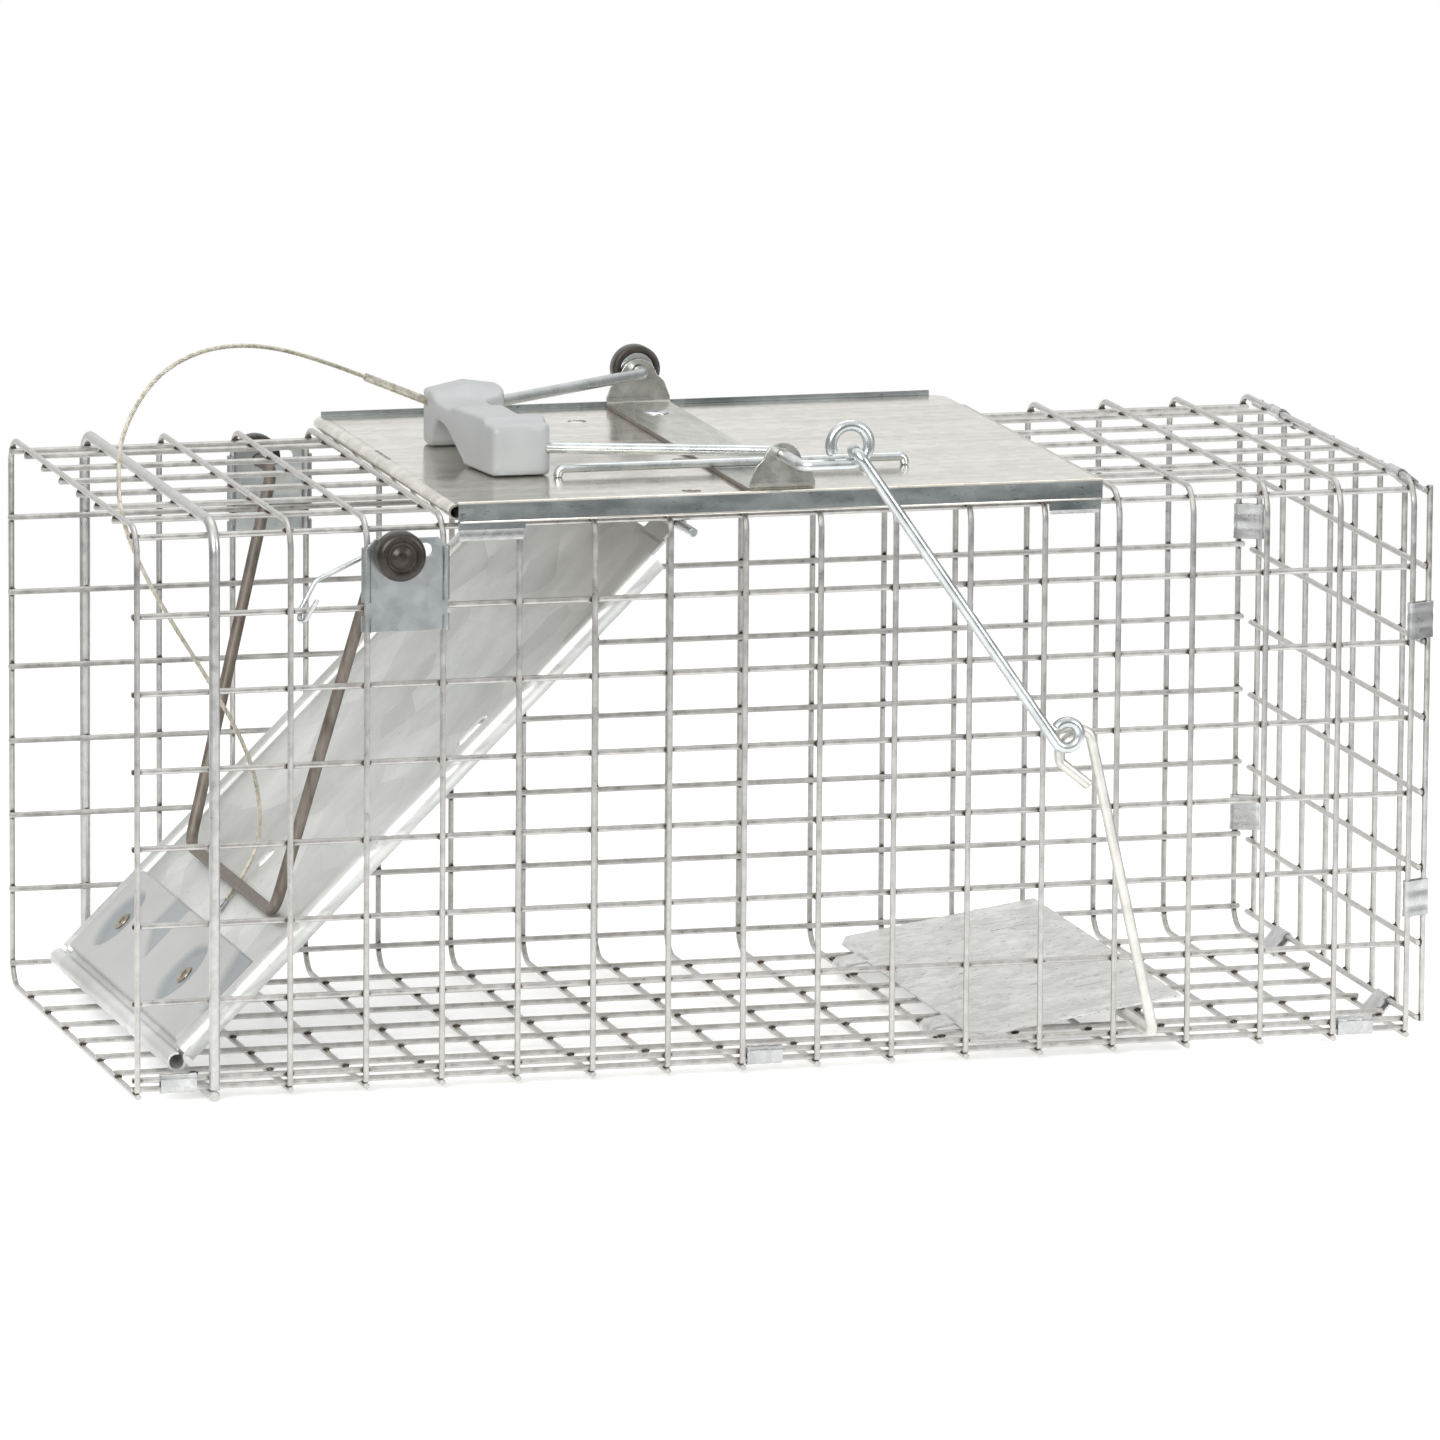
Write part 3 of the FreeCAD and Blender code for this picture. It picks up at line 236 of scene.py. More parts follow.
def add_floor():
    """A pale disc under the trap that fades into the plain background."""
    corners = [(x * FLOOR_REACH, y * FLOOR_REACH, 0) for x, y in ((-1, -1), (1, -1), (1, 1), (-1, 1))]
    floor = mesh_object("studio_floor", corners, [(0, 1, 2, 3)])
    floor.location.z = -FLOOR_GAP
    material, tree, shader = new_material("floor_paper")
    place = tree.nodes.new("ShaderNodeTexCoord")
    length = add_node(tree, "ShaderNodeVectorMath", {0: place.outputs["Object"]})
    length.operation = "LENGTH"
    feed(tree, shader, {"Base Color": (0.95, 0.95, 0.95), "Emission Color": (1, 1, 1),
                        "Emission Strength": 0.3, "Roughness": 0.9, "Specular IOR Level": 0.1,
                        "Alpha": grey_ramp(tree, length.outputs["Value"], 1, 0, 0.35, 0.95)})
    floor.data.materials.append(material)


# ---- materials

def feed(tree, node, inputs):
    """Link a node's inputs to sockets, or set them to numbers, vectors or colours."""
    for key, value in inputs.items():
        socket = node.inputs[key]
        if isinstance(value, bpy.types.NodeSocket):
            tree.links.new(value, socket)
        elif socket.type == "RGBA":
            socket.default_value = (*value, 1)
        else:
            socket.default_value = value


def add_node(tree, kind, inputs):
    node = tree.nodes.new(kind)
    feed(tree, node, inputs)
    return node


def new_material(name):
    """A new material, its node tree and its surface shader."""
    material = bpy.data.materials.new(name)
    material.use_nodes = True
    tree = material.node_tree
    tree.nodes.clear()
    shader = tree.nodes.new("ShaderNodeBsdfPrincipled")
    add_node(tree, "ShaderNodeOutputMaterial", {"Surface": shader.outputs[0]})
    return material, tree, shader


def colour_ramp(tree, value, stops):
    """A ramp of (position, colour) stops. A colour that is one number is a grey."""
    ramp = add_node(tree, "ShaderNodeValToRGB", {0: value})
    elements = ramp.color_ramp.elements
    while len(elements) < len(stops):
        elements.new(0.5)
    for element, (position, colour) in zip(elements, stops):
        element.position = position
        element.color = (*colour, 1) if isinstance(colour, tuple) else (colour, colour, colour, 1)
    return ramp.outputs[0]


def grey_ramp(tree, value, low, high, start=0.3, end=0.7):
    return colour_ramp(tree, value, [(start, low), (end, high)])


def pattern(tree, scale, detail=4, roughness=0.6, stretch=(1, 1, 1), kind="noise"):
    """A procedural value over the piece's own coordinates, in metres. stretch squeezes its axes."""
    place = tree.nodes.new("ShaderNodeTexCoord")
    mapping = add_node(tree, "ShaderNodeMapping", {"Scale": stretch, "Vector": place.outputs["Object"]})
    common = {"Scale": scale, "Vector": mapping.outputs[0]}
    if kind == "cells":
        return add_node(tree, "ShaderNodeTexVoronoi", common).outputs["Color"]
    noise = {"Detail": detail, "Roughness": roughness, **common}
    return add_node(tree, "ShaderNodeTexNoise", noise).outputs["Fac"]


def mesh_mark(tree):
    """The mark that a mesh holds for each vertex, from 0 to 1."""
    mark = tree.nodes.new("ShaderNodeAttribute")
    mark.attribute_name = "shade"
    return mark.outputs["Fac"]


def mixed(tree, share, first, second, blend="MIX"):
    """Colour first towards second by share. Each is a socket or a colour."""
    mix = tree.nodes.new("ShaderNodeMix")
    mix.data_type = "RGBA"
    mix.blend_type = blend
    feed(tree, mix, {0: share, 6: first, 7: second})
    return mix.outputs[2]


def surface(tree, shader, colour, roughness, metallic=0.0):
    feed(tree, shader, {"Base Color": colour, "Roughness": roughness, "Metallic": metallic})


def add_bump(tree, shader, height, strength, distance):
    bump = add_node(tree, "ShaderNodeBump", {"Strength": strength, "Distance": distance * MM,
                                             "Height": height})
    feed(tree, shader, {"Normal": bump.outputs[0]})


def welded_wire(name, light, dark):
    """Zinc-coated wire, dull and brown where it is welded."""
    material, tree, shader = new_material(name)
    cloud = pattern(tree, 260, detail=5)
    zinc = colour_ramp(tree, cloud, [(0.28, dark), (0.62, light)])
    ragged = mixed(tree, 0.35, mesh_mark(tree), pattern(tree, 900, detail=3))
    spot = grey_ramp(tree, ragged, 0, 1, 0.5, 0.68)
    dull = mixed(tree, spot, grey_ramp(tree, cloud, 0.26, 0.44), (0.75, 0.75, 0.75))
    metal = mixed(tree, spot, (0.92, 0.92, 0.92), (0.35, 0.35, 0.35))
    surface(tree, shader, mixed(tree, spot, zinc, (0.055, 0.036, 0.024)), dull, metal)
    add_bump(tree, shader, pattern(tree, 1400, detail=3), 0.35, 0.12)
    return material


def galvanised(name, light, dark, gloss, stretch, speckle, scale):
    """Rolled galvanised sheet: clouded zinc, faint rolling streaks and, with speckle, dark grains."""
    material, tree, shader = new_material(name)
    cloud = pattern(tree, scale, detail=6, stretch=stretch)
    streak = pattern(tree, scale * 2.2, detail=4, stretch=tuple(s * s for s in stretch))
    zinc = colour_ramp(tree, cloud, [(0.3, dark), (0.66, light)])
    spangle = grey_ramp(tree, pattern(tree, scale * 3, kind="cells"), 0.86, 1.0, 0.2, 0.8)
    colour = mixed(tree, 1.0, zinc, spangle, "MULTIPLY")
    if speckle:
        grain = pattern(tree, 620, detail=4, roughness=0.75, stretch=stretch)
        spots = grey_ramp(tree, grain, 0, 1, 0.66 - speckle * 0.2, 0.8 - speckle * 0.2)
        colour = mixed(tree, spots, colour, tuple(0.3 * c for c in dark))
    surface(tree, shader, colour, grey_ramp(tree, streak, gloss, gloss + 0.16), 0.9)
    add_bump(tree, shader, streak, 0.05, 0.02)
    return material


def clouded(name, scale, detail, stops, gloss, metallic, bump, stretch=(1, 1, 1)):
    """A surface whose colour and gloss follow one cloud. gloss is its two roughness ends.

    bump is the scale and detail of its relief, or None to use the cloud, then strength and depth.
    """
    material, tree, shader = new_material(name)
    cloud = pattern(tree, scale, detail, stretch=stretch)
    surface(tree, shader, colour_ramp(tree, cloud, stops), grey_ramp(tree, cloud, *gloss), metallic)
    if bump:
        relief, strength, depth = bump
        add_bump(tree, shader, pattern(tree, *relief) if relief else cloud, strength, depth)
    return material


def bright_rod(name, light, dark, gloss):
    """Drawn rod with zinc plating and fine marks."""
    return clouded(name, 120, 4, [(0.3, dark), (0.6, light)], (gloss, gloss + 0.18), 0.95,
                   ((500, 2), 0.03, 0.02))


def raw_rod():
    """Dull brown-grey rod as it comes from the drawing die."""
    browns = [(0.25, (0.10, 0.082, 0.066)), (0.5, (0.185, 0.16, 0.135)), (0.75, (0.27, 0.24, 0.21))]
    return clouded("raw_rod", 420, 6, browns, (0.42, 0.62), 0.45, (None, 0.4, 0.12), (1, 1, 0.25))


def black_rubber():
    blacks = [(0.35, (0.014, 0.011, 0.008)), (0.75, (0.042, 0.032, 0.024))]
    return clouded("black_rubber", 300, 5, blacks, (0.26, 0.42), 0.0, ((1100, 2), 0.2, 0.06))


def cable_steel():
    greys = [(0.3, (0.40, 0.37, 0.29)), (0.62, (0.70, 0.67, 0.58))]
    return clouded("cable_steel", 500, 4, greys, (0.36, 0.56), 0.7, None)


def plastic(name, colour, hollow=None):
    """Moulded plastic with a fine eroded grain. hollow is a painted shade: the darker tone where the mesh is
    marked as sunk.
    """
    material, tree, shader = new_material(name)
    tone = pattern(tree, 45, detail=3)
    pale = tuple(min(1.0, c * 1.05) for c in colour)
    deep = tuple(c * 0.93 for c in colour)
    skin = colour_ramp(tree, tone, [(0.3, deep), (0.7, pale)])
    # painted shade: where the mesh is marked as sunk, the colour goes towards the darker hollow tone
    if hollow:
        skin = mixed(tree, mesh_mark(tree), skin, hollow)
    surface(tree, shader, skin, grey_ramp(tree, tone, 0.36, 0.46))
    shader.inputs["Specular IOR Level"].default_value = 0.45
    add_bump(tree, shader, pattern(tree, 900, detail=2), 0.18, 0.05)
    return material


def make_looks():
    """Each look's material and the name of its slot."""
    looks = {}
    for key, light, dark, gloss, stretch, speckle, scale in (
            ("plate", (0.78, 0.75, 0.69), (0.62, 0.59, 0.53), 0.1, (0.18, 1, 1), 0, 90),
            # the flange's darker zinc is painted shade: the plate's own sheet made darker on its front face
            # than on its top; its dark grains are real
            ("flange", (0.50, 0.53, 0.53), (0.20, 0.23, 0.23), 0.24, (0.4, 1, 1), 0.3, 70),
            ("strip", (0.62, 0.62, 0.58), (0.42, 0.42, 0.38), 0.2, (1, 0.3, 1), 0, 90),
            ("wall", (0.60, 0.63, 0.64), (0.40, 0.43, 0.43), 0.26, (1, 1, 1), 0, 60),
            ("sheet", (0.66, 0.67, 0.67), (0.50, 0.51, 0.51), 0.2, (1, 1, 1), 0, 90),
            ("door", (0.86, 0.87, 0.86), (0.58, 0.59, 0.57), 0.4, (1, 1, 1), 0.12, 14)):
        material = galvanised("galvanised_" + key, light, dark, gloss, stretch, speckle, scale)
        looks[key] = (material, "galvanised_sheet")
    pan = galvanised("spangled_sheet", (0.84, 0.84, 0.83), (0.68, 0.68, 0.67), 0.36, (0.5, 1, 1), 0.42, 90)
    looks["pan"] = (pan, "spangled_sheet")
    for key, name, light, dark in (
            ("wire", "galvanised_wire", (0.60, 0.59, 0.57), (0.44, 0.43, 0.41)),
            ("thick_wire", "galvanised_thick_wire", (0.60, 0.60, 0.59), (0.47, 0.47, 0.46))):
        looks[key] = (welded_wire(name, light, dark), "galvanised_wire")
    for key, name, light, dark, gloss, slot in (
            ("rod", "zinc_rod", (0.66, 0.69, 0.69), (0.50, 0.53, 0.54), 0.2, "zinc_rod"),
            ("rivet", "hollow_rivet", (0.50, 0.46, 0.38), (0.22, 0.18, 0.13), 0.3, "zinc_rod"),
            ("arm", "arm_rod", (0.74, 0.73, 0.69), (0.60, 0.59, 0.55), 0.36, "arm_rod")):
        looks[key] = (bright_rod(name, light, dark, gloss), slot)
    looks["raw"] = (raw_rod(), "raw_rod")
    looks["grip"] = (plastic("grip_plastic", (0.415, 0.43, 0.435)), "grip_plastic")
    # the second colour is painted shade for the toe cover's wells and facets
    looks["cover"] = (plastic("cover_plastic", (0.44, 0.445, 0.44), (0.235, 0.26, 0.28)), "cover_plastic")
    looks["rubber"] = (black_rubber(), "black_rubber")
    looks["cable"] = (cable_steel(), "cable_steel")
    return looks


# ---- mesh helpers

DOME = 0.25             # how much narrower a rod's end is, as a share of its radius


def mesh_object(name, vertices, faces):
    mesh = bpy.data.meshes.new(name)
    mesh.from_pydata([tuple(v) for v in vertices], [], faces)
    mesh.validate()
    obj = bpy.data.objects.new(name, mesh)
    bpy.context.scene.collection.objects.link(obj)
    return obj


class Mesh:
    """Vertices in design millimetres, faces, and each vertex's mark: weld scorch, or painted shade in a sunk
    place.
    """

    def __init__(self):
        self.vertices = []
        self.faces = []
        self.marks = []

    def add(self, vertices, faces, marks=0.0):
        first = len(self.vertices)
        self.vertices += [Vector(v) for v in vertices]
        self.faces += [tuple(first + i for i in face) for face in faces]
        self.marks += marks if isinstance(marks, list) else [marks] * len(vertices)

    def loft(self, rings, marks=None, caps=True):
        """Skin closed rings of equal length in order."""
        count = len(rings[0])
        end = (len(rings) - 1) * count
        faces = []
        for r in range(0, end, count):
            for i in range(count):
                j = (i + 1) % count
                faces.append((r + i, r + j, r + count + j, r + count + i))
        if caps:
            faces.append(tuple(reversed(range(count))))
            faces.append(tuple(range(end, end + count)))
        self.add([p for ring in rings for p in ring], faces, marks or 0.0)

    def finish(self, name, look, body, *nodes, slot=None, sharp=35, soften=0.0):
        """Make the piece, shade it, round its edges, give it its look's material, put it on its body and hide
        the CAD nodes that it replaces. slot is not used.
        """
        obj = mesh_object(name, [at(v) for v in self.vertices], self.faces)
        if any(self.marks):
            attribute = obj.data.attributes.new("shade", "FLOAT", "POINT")
            attribute.data.foreach_set("value", self.marks)
        obj.data.shade_smooth()
        obj.data.set_sharp_from_angle(angle=math.radians(sharp))
        if soften:
            bevel = obj.modifiers.new("edge_rounding", "BEVEL")
            bevel.width = soften * MM
            bevel.segments = 2
            bevel.limit_method = "ANGLE"
            bevel.angle_limit = math.radians(35)
            bevel.harden_normals = True
        material, own_slot = LOOKS[look]
        obj.data.materials.append(material)
        if body:
            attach(obj, body)
        if nodes:
            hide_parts(*nodes)
        return obj


def arc_points(centre, radius, start, end, steps):
    """Points of a flat arc, angles in degrees."""
    angles = [math.radians(start + (end - start) * i / steps) for i in range(steps + 1)]
    return [(centre[0] + radius * math.cos(a), centre[1] + radius * math.sin(a)) for a in angles]


def corner_arc(before, corner, after, radius, steps):
    """Points of the arc that rounds the corner between two neighbours."""
    back = (before - corner).normalized()
    ahead = (after - corner).normalized()
    half_turn = (math.pi - back.angle(ahead)) / 2
    centre = corner + (back + ahead).normalized() * (radius / math.cos(half_turn))
    spoke = corner + back * (radius * math.tan(half_turn)) - centre
    turns = [2 * half_turn * k / steps for k in range(steps + 1)]
    return [centre + spoke * math.cos(t) - back * (radius * math.sin(t)) for t in turns]


def rounded_path(points, radii, steps=8):
    """Straight runs through the points with their corners turned into arcs, as in the CAD part."""
    corners = [Vector(p) for p in points]
    if not isinstance(radii, list):
        radii = [radii] * (len(corners) - 2)
    path = corners[:1]
    for before, corner, after, radius in zip(corners, corners[1:], corners[2:], radii):
        path += corner_arc(before, corner, after, radius, steps)
    return path + corners[-1:]


def rounded_outline(points, radius, steps=5):
    """A closed outline with every corner turned into an arc."""
    corners = [Vector(p) for p in points]
    outline = []
    for before, corner, after in zip(corners[-1:] + corners, corners, corners[1:] + corners[:1]):
        outline += corner_arc(before, corner, after, radius, steps)
    return outline


def ring_frames(path):
    """A tangent and one steady side direction for each point of a path."""
    last = len(path) - 1
    tangents = [(path[min(i + 1, last)] - path[max(i - 1, 0)]).normalized() for i in range(last + 1)]
    side = tangents[0].orthogonal().normalized()
    frames = []
    for tangent in tangents:
        side = (side - tangent * side.dot(tangent)).normalized()
        frames.append((tangent, side))
    return frames


def turned(first, second, angle):
    """The direction that lies an angle from the first towards the second."""
    return first * math.cos(angle) + second * math.sin(angle)


def spokes(axis, side, count):
    """Evenly spaced unit directions round an axis, the first one along side."""
    other = axis.cross(side)
    return [turned(side, other, 2 * math.pi * k / count) for k in range(count)]


def tube(mesh, path, radius, sides=12, scorch=None):
    """A round rod along the path, its ends slightly domed.

    scorch gives a vertex's share of weld scorch from its rod's centre there and its way outwards.
    """
    path = [Vector(p) for p in path]
    frames = ring_frames(path)
    lip = radius * DOME
    centres = [path[0], path[0] + frames[0][0] * lip] + path[1:-1]
    centres += [path[-1] - frames[-1][0] * lip, path[-1]]
    sizes = [radius - lip] + [radius] * len(path) + [radius - lip]
    rings = []
    shares = []
    for centre, (tangent, side), size in zip(centres, frames[:1] + frames + frames[-1:], sizes):
        outwards = spokes(tangent, side, sides)
        rings.append([centre + way * size for way in outwards])
        if scorch:
            shares += [scorch(centre, way) for way in outwards]
    mesh.loft(rings, shares)


def rod_piece(name, look, body, node, path, radius, sides=ROD_SIDES):
    """A piece that is one bent rod."""
    mesh = Mesh()
    tube(mesh, path, radius, sides)
    mesh.finish(name, look, body, node)


def lathe(mesh, profile, centre, axis, segments=40, hollow=False):
    """Spin (distance along the axis, radius) pairs round an axis through centre.

    hollow joins the last pair back to the first, for a ring instead of a capped solid.
    """
    axis = Vector(axis).normalized()
    centre = Vector(centre)
    ways = spokes(axis, axis.orthogonal().normalized(), segments)
    rings = [[centre + axis * along + way * radius for way in ways] for along, radius in profile]
    mesh.loft(rings + rings[:1] if hollow else rings, caps=not hollow)


def along_x(point, x):
    return (x, point.x, point.y)


def along_y(point, y):
    return (point.x, y, point.y)


def along_z(point, z):
    return (point.x, point.y, z)


def across_door(point, y):
    return door_point(point.x, y, point.y)


def down_door(point, along):
    return door_point(along, point.x, point.y)


def across_pan(point, y):
    return pan_point(point.x, y, point.y)


def folded_sheet(mesh, profile, thickness, place, start, end, cuts=1):
    """A sheet that follows a flat open profile, drawn out from start to end.

    place turns (profile point, distance) into a design point.
    """
    points = [Vector(p) for p in profile]
    last = len(points) - 1
    left, right = [], []
    for i, point in enumerate(points):
        way = (points[min(i + 1, last)] - points[max(i - 1, 0)]).normalized()
        normal = Vector((-way.y, way.x)) * (thickness / 2)
        left.append(point + normal)
        right.append(point - normal)
    outline = left + right[::-1]
    distances = [start + (end - start) * k / cuts for k in range(cuts + 1)]
    rings = [[place(p, distance) for p in outline] for distance in distances]
    mesh.loft(rings, caps=False)
    total = len(outline)
    quads = [(i, i + 1, total - 2 - i, total - 1 - i) for i in range(last)]
    mesh.add(rings[0], quads)
    mesh.add(rings[-1], [quad[::-1] for quad in quads])


def drawn_mesh(name, curve):
    """The mesh of a curve."""
    drawing = bpy.data.objects.new(name, curve)
    bpy.context.scene.collection.objects.link(drawing)
    bpy.context.view_layer.update()
    mesh = bpy.data.meshes.new_from_object(drawing)
    bpy.data.objects.remove(drawing)
    return mesh


def flat_sheet(mesh, name, outlines, thickness, edge, place):
    """A flat sheet with holes and rounded edges. The first outline is its rim.

    place is the 4x4 matrix, in design millimetres, from the flat drawing to the piece.
    """
    curve = bpy.data.curves.new(name, "CURVE")
    curve.dimensions = "2D"
    curve.fill_mode = "BOTH"
    curve.extrude = max(thickness / 2 - edge, 0.01)
    curve.bevel_depth = edge
    curve.bevel_resolution = 2
    curve.offset = -edge
    for points in outlines:
        spline = curve.splines.new("POLY")
        spline.points.add(len(points) - 1)
        spline.use_cyclic_u = True
        for item, (x, y) in zip(spline.points, points):
            item.co = (x, y, 0, 1)
    flat = drawn_mesh(name, curve)
    mesh.add([place @ v.co for v in flat.vertices], [tuple(p.vertices) for p in flat.polygons])
    bpy.data.meshes.remove(flat)


def drawing_plane(origin, across, up):
    """A matrix that lays a flat drawing on a plane through origin."""
    x_axis, y_axis = Vector(across).normalized(), Vector(up).normalized()
    matrix = Matrix((x_axis, y_axis, x_axis.cross(y_axis))).transposed().to_4x4()
    matrix.translation = Vector(origin)
    return matrix


def round_hole(x, y, radius, steps=28):
    return arc_points((x, y), radius, 0, 360 - 360 / steps, steps - 1)


def slot_hole(x0, x1, y, half):
    """A slot with round ends along x."""
    return arc_points((x1 - half, y), half, -90, 90, 8) + arc_points((x0 + half, y), half, 90, 270, 8)


# ---- welded mat and rear wall

WELD_REACH = 2.7


def long_wires():
    """Each lengthwise wire's centre at x = 0 and its way outwards, to the hoops that it is welded to."""
    wires = [((FLOOR_WIRE_Y + ACROSS_PITCH * k, FLOOR + LAYER), (0, -1)) for k in range(7)]
    wires += [((ROOF_WIRE_Y + ACROSS_PITCH * k, ROOF - LAYER), (0, 1)) for k in range(6)]
    wires += [((LAYER, k * PITCH), (-1, 0)) for k in range(7)]
    wires += [((WIDTH - LAYER, 2.2 + k * PITCH), (1, 0)) for k in range(1, 7)]
    inner = BEND - LAYER
    for y, z, turn in ((BEND, ROOF - BEND, 129), (WIDTH - BEND, ROOF - BEND, 45),
                       (WIDTH - BEND, FLOOR + BEND, -15)):
        way = (math.cos(math.radians(turn)), math.sin(math.radians(turn)))
        wires.append(((y + inner * way[0], z + inner * way[1]), way))
    return [(Vector((0, *centre)), Vector((0, *way))) for centre, way in wires]


def weld_steps(start, end, spots):
    """Stations along a wire, close together where it is welded."""
    steps = {start, end}
    for spot in spots:
        steps |= {spot + offset for offset in (-3.6, -2.6, -1.7, -0.8, 0, 0.8, 1.7, 2.6, 3.6)}
    return sorted(s for s in steps if start <= s <= end)


def scorch_share(distance, facing):
    return math.exp(-(distance / WELD_REACH) ** 2) * max(0.0, 0.3 + 0.7 * facing)


def build_long_wires():
    mesh = Mesh()
    hoops = [i * PITCH for i in range(HOOPS)]
    for wire, outwards in long_wires():

        def scorch(centre, side):
            distance = min(abs(centre.x - x) for x in hoops)
            return scorch_share(distance, side.dot(outwards))

        path = [(x, wire.y, wire.z) for x in weld_steps(-OVERHANG, CAGE_END + OVERHANG, hoops)]
        tube(mesh, path, WIRE, WIRE_SIDES, scorch)
    mesh.finish("mat_long_wires", "wire", "cage")


def hoop_path(x, grow):
    """Floor, back, roof and front of one hoop, with more stations near its welds."""
    low, high, near, far = FLOOR - grow, ROOF + grow, -grow, WIDTH + grow
    corners = [(x, -HOOP_END, low), (x, far, low), (x, far, high), (x, near, high),
               (x, near, FLOOR + HOOP_END)]
    coarse = rounded_path(corners, BEND + grow, 10)
    path = [coarse[0]]
    for a, b in zip(coarse, coarse[1:]):
        run = (b - a).length
        if run > 20:
            way = (b - a) / run
            spots = []
            for wire, outwards in long_wires():
                along = (Vector((x, 0, 0)) + wire - a).dot(way)
                if 0 < along < run and abs(outwards.dot(way)) < 0.3:
                    spots.append(along)
            path += [a + (b - a) * (s / run) for s in weld_steps(0, run, spots)[1:]]
        else:
            path.append(b)
    return path


def build_hoops():
    wires = long_wires()

    def scorch(centre, side):
        flat = Vector((0, centre.y, centre.z))
        best = min(wires, key=lambda wire: (wire[0] - flat).length)
        distance = max(0.0, (best[0] - flat).length - LAYER)
        return scorch_share(math.sqrt(distance * (distance + 2 * LAYER)), -side.dot(best[1]))

    thin = Mesh()
    for index in range(HOOPS):
        if index != 1:
            tube(thin, hoop_path(index * PITCH, 0), WIRE, WIRE_SIDES, scorch)
    thin.finish("mat_hoops", "wire", "cage", "floor_mesh", "front_wall_mesh", "back_wall_mesh", "roof_mesh",
                "mesh_corner_bends")
    thick = Mesh()
    tube(thick, hoop_path(PITCH, THICK_WIRE - WIRE), THICK_WIRE, 18, scorch)
    thick.finish("entrance_hoop_wire", "thick_wire", "cage", "entrance_hoop")


def build_rear_wall():
    mesh = Mesh()
    levels = [k * PITCH for k in range(REAR_WIRES)]
    across = [REAR_MARGIN + k * REAR_STEP for k in range(REAR_WIRES)]

    def level_scorch(centre, side):
        return scorch_share(min(abs(centre.y - y) for y in across), side.x)

    def upright_scorch(centre, side):
        return scorch_share(min(abs(centre.z - z) for z in levels), -side.x)

    for z in levels:
        stations = weld_steps(REAR_MARGIN - OVERHANG, WIDTH - REAR_MARGIN + OVERHANG, across)
        tube(mesh, [(REAR_LEVEL_X, y, z) for y in stations], WIRE, WIRE_SIDES, level_scorch)
    for y in across:
        stations = weld_steps(-OVERHANG, REAR_TOP + OVERHANG, levels)
        tube(mesh, [(REAR_UPRIGHT_X, y, z) for z in stations], WIRE, WIRE_SIDES, upright_scorch)
    mesh.finish("rear_wall_wires", "wire", "cage", "rear_wall_mesh")


def weld_bead(mesh, centre, outwards):
    """A squashed bead of burnt metal between two crossing wires."""
    side = outwards.orthogonal().normalized()
    other = outwards.cross(side)
    wide = random.uniform(1.15, 1.45)
    turn = random.uniform(0, math.pi)
    rings = []
    for height in (-0.62, -0.35, 0, 0.35, 0.62):
        size = wide * math.sqrt(1 - (height / 0.8) ** 2)
        ring = []
        for k in range(8):
            angle = turn + 2 * math.pi * k / 8
            reach = size * (1 + 0.12 * math.sin(3 * angle + turn))
            ring.append(centre + outwards * height + turned(side, other, angle) * reach)
        rings.append(ring)
    mesh.loft(rings, [0.8] * 40)


def build_weld_beads():
    mesh = Mesh()
    for wire, outwards in long_wires():
        for index in range(HOOPS):
            weld_bead(mesh, Vector((index * PITCH, 0, 0)) + wire + outwards * (LAYER / 2), outwards)
    for row in range(REAR_WIRES):
        for column in range(REAR_WIRES):
            centre = Vector((REAR_LEVEL_X + LAYER / 2, REAR_MARGIN + column * REAR_STEP, row * PITCH))
            weld_bead(mesh, centre, Vector((1, 0, 0)))
    mesh.finish("weld_beads", "wire", "cage")


# ---- folded clips

CLIP_LENGTH, CLIP_INNER, CLIP_SHEET = 12, 1.1, 0.7


def wire_clip(mesh, first, second, place, middle):
    """A sheet band squeezed round two parallel wires, given by their centres in the plane across.

    place turns (point of that plane, distance along the wires) into a design point.
    """
    a, b = Vector(first), Vector(second)
    span = (b - a).normalized()
    side = Vector((-span.y, span.x))

    def spread(centre, start, radius):
        turns = [math.radians(start + 180 * k / 8) for k in range(9)]
        return [centre + turned(span, side, t) * radius for t in turns]

    def band(radius, waist):
        bulge = side * radius * waist
        return spread(b, -90, radius) + [(a + b) / 2 + bulge] + spread(a, 90, radius) + [(a + b) / 2 - bulge]

    rings = []
    inner = []
    for k in range(13):
        along = CLIP_LENGTH * (k / 12 - 0.5)
        crimp = 0.16 * math.exp(-((abs(along) - 2.6) / 0.9) ** 2)
        flare = 0.10 * math.exp(-((abs(along) - 6.0) / 0.8) ** 2)
        radius = (CLIP_INNER + CLIP_SHEET) * (0.97 - crimp * 0.5 + flare * 0.3)
        rings.append([place(p, middle + along) for p in band(radius, 0.9 - crimp)])
        inner.append([place(p, middle + along) for p in band(radius - CLIP_SHEET, 0.86 - crimp)])
    mesh.loft(rings + inner[::-1] + rings[:1], caps=False)


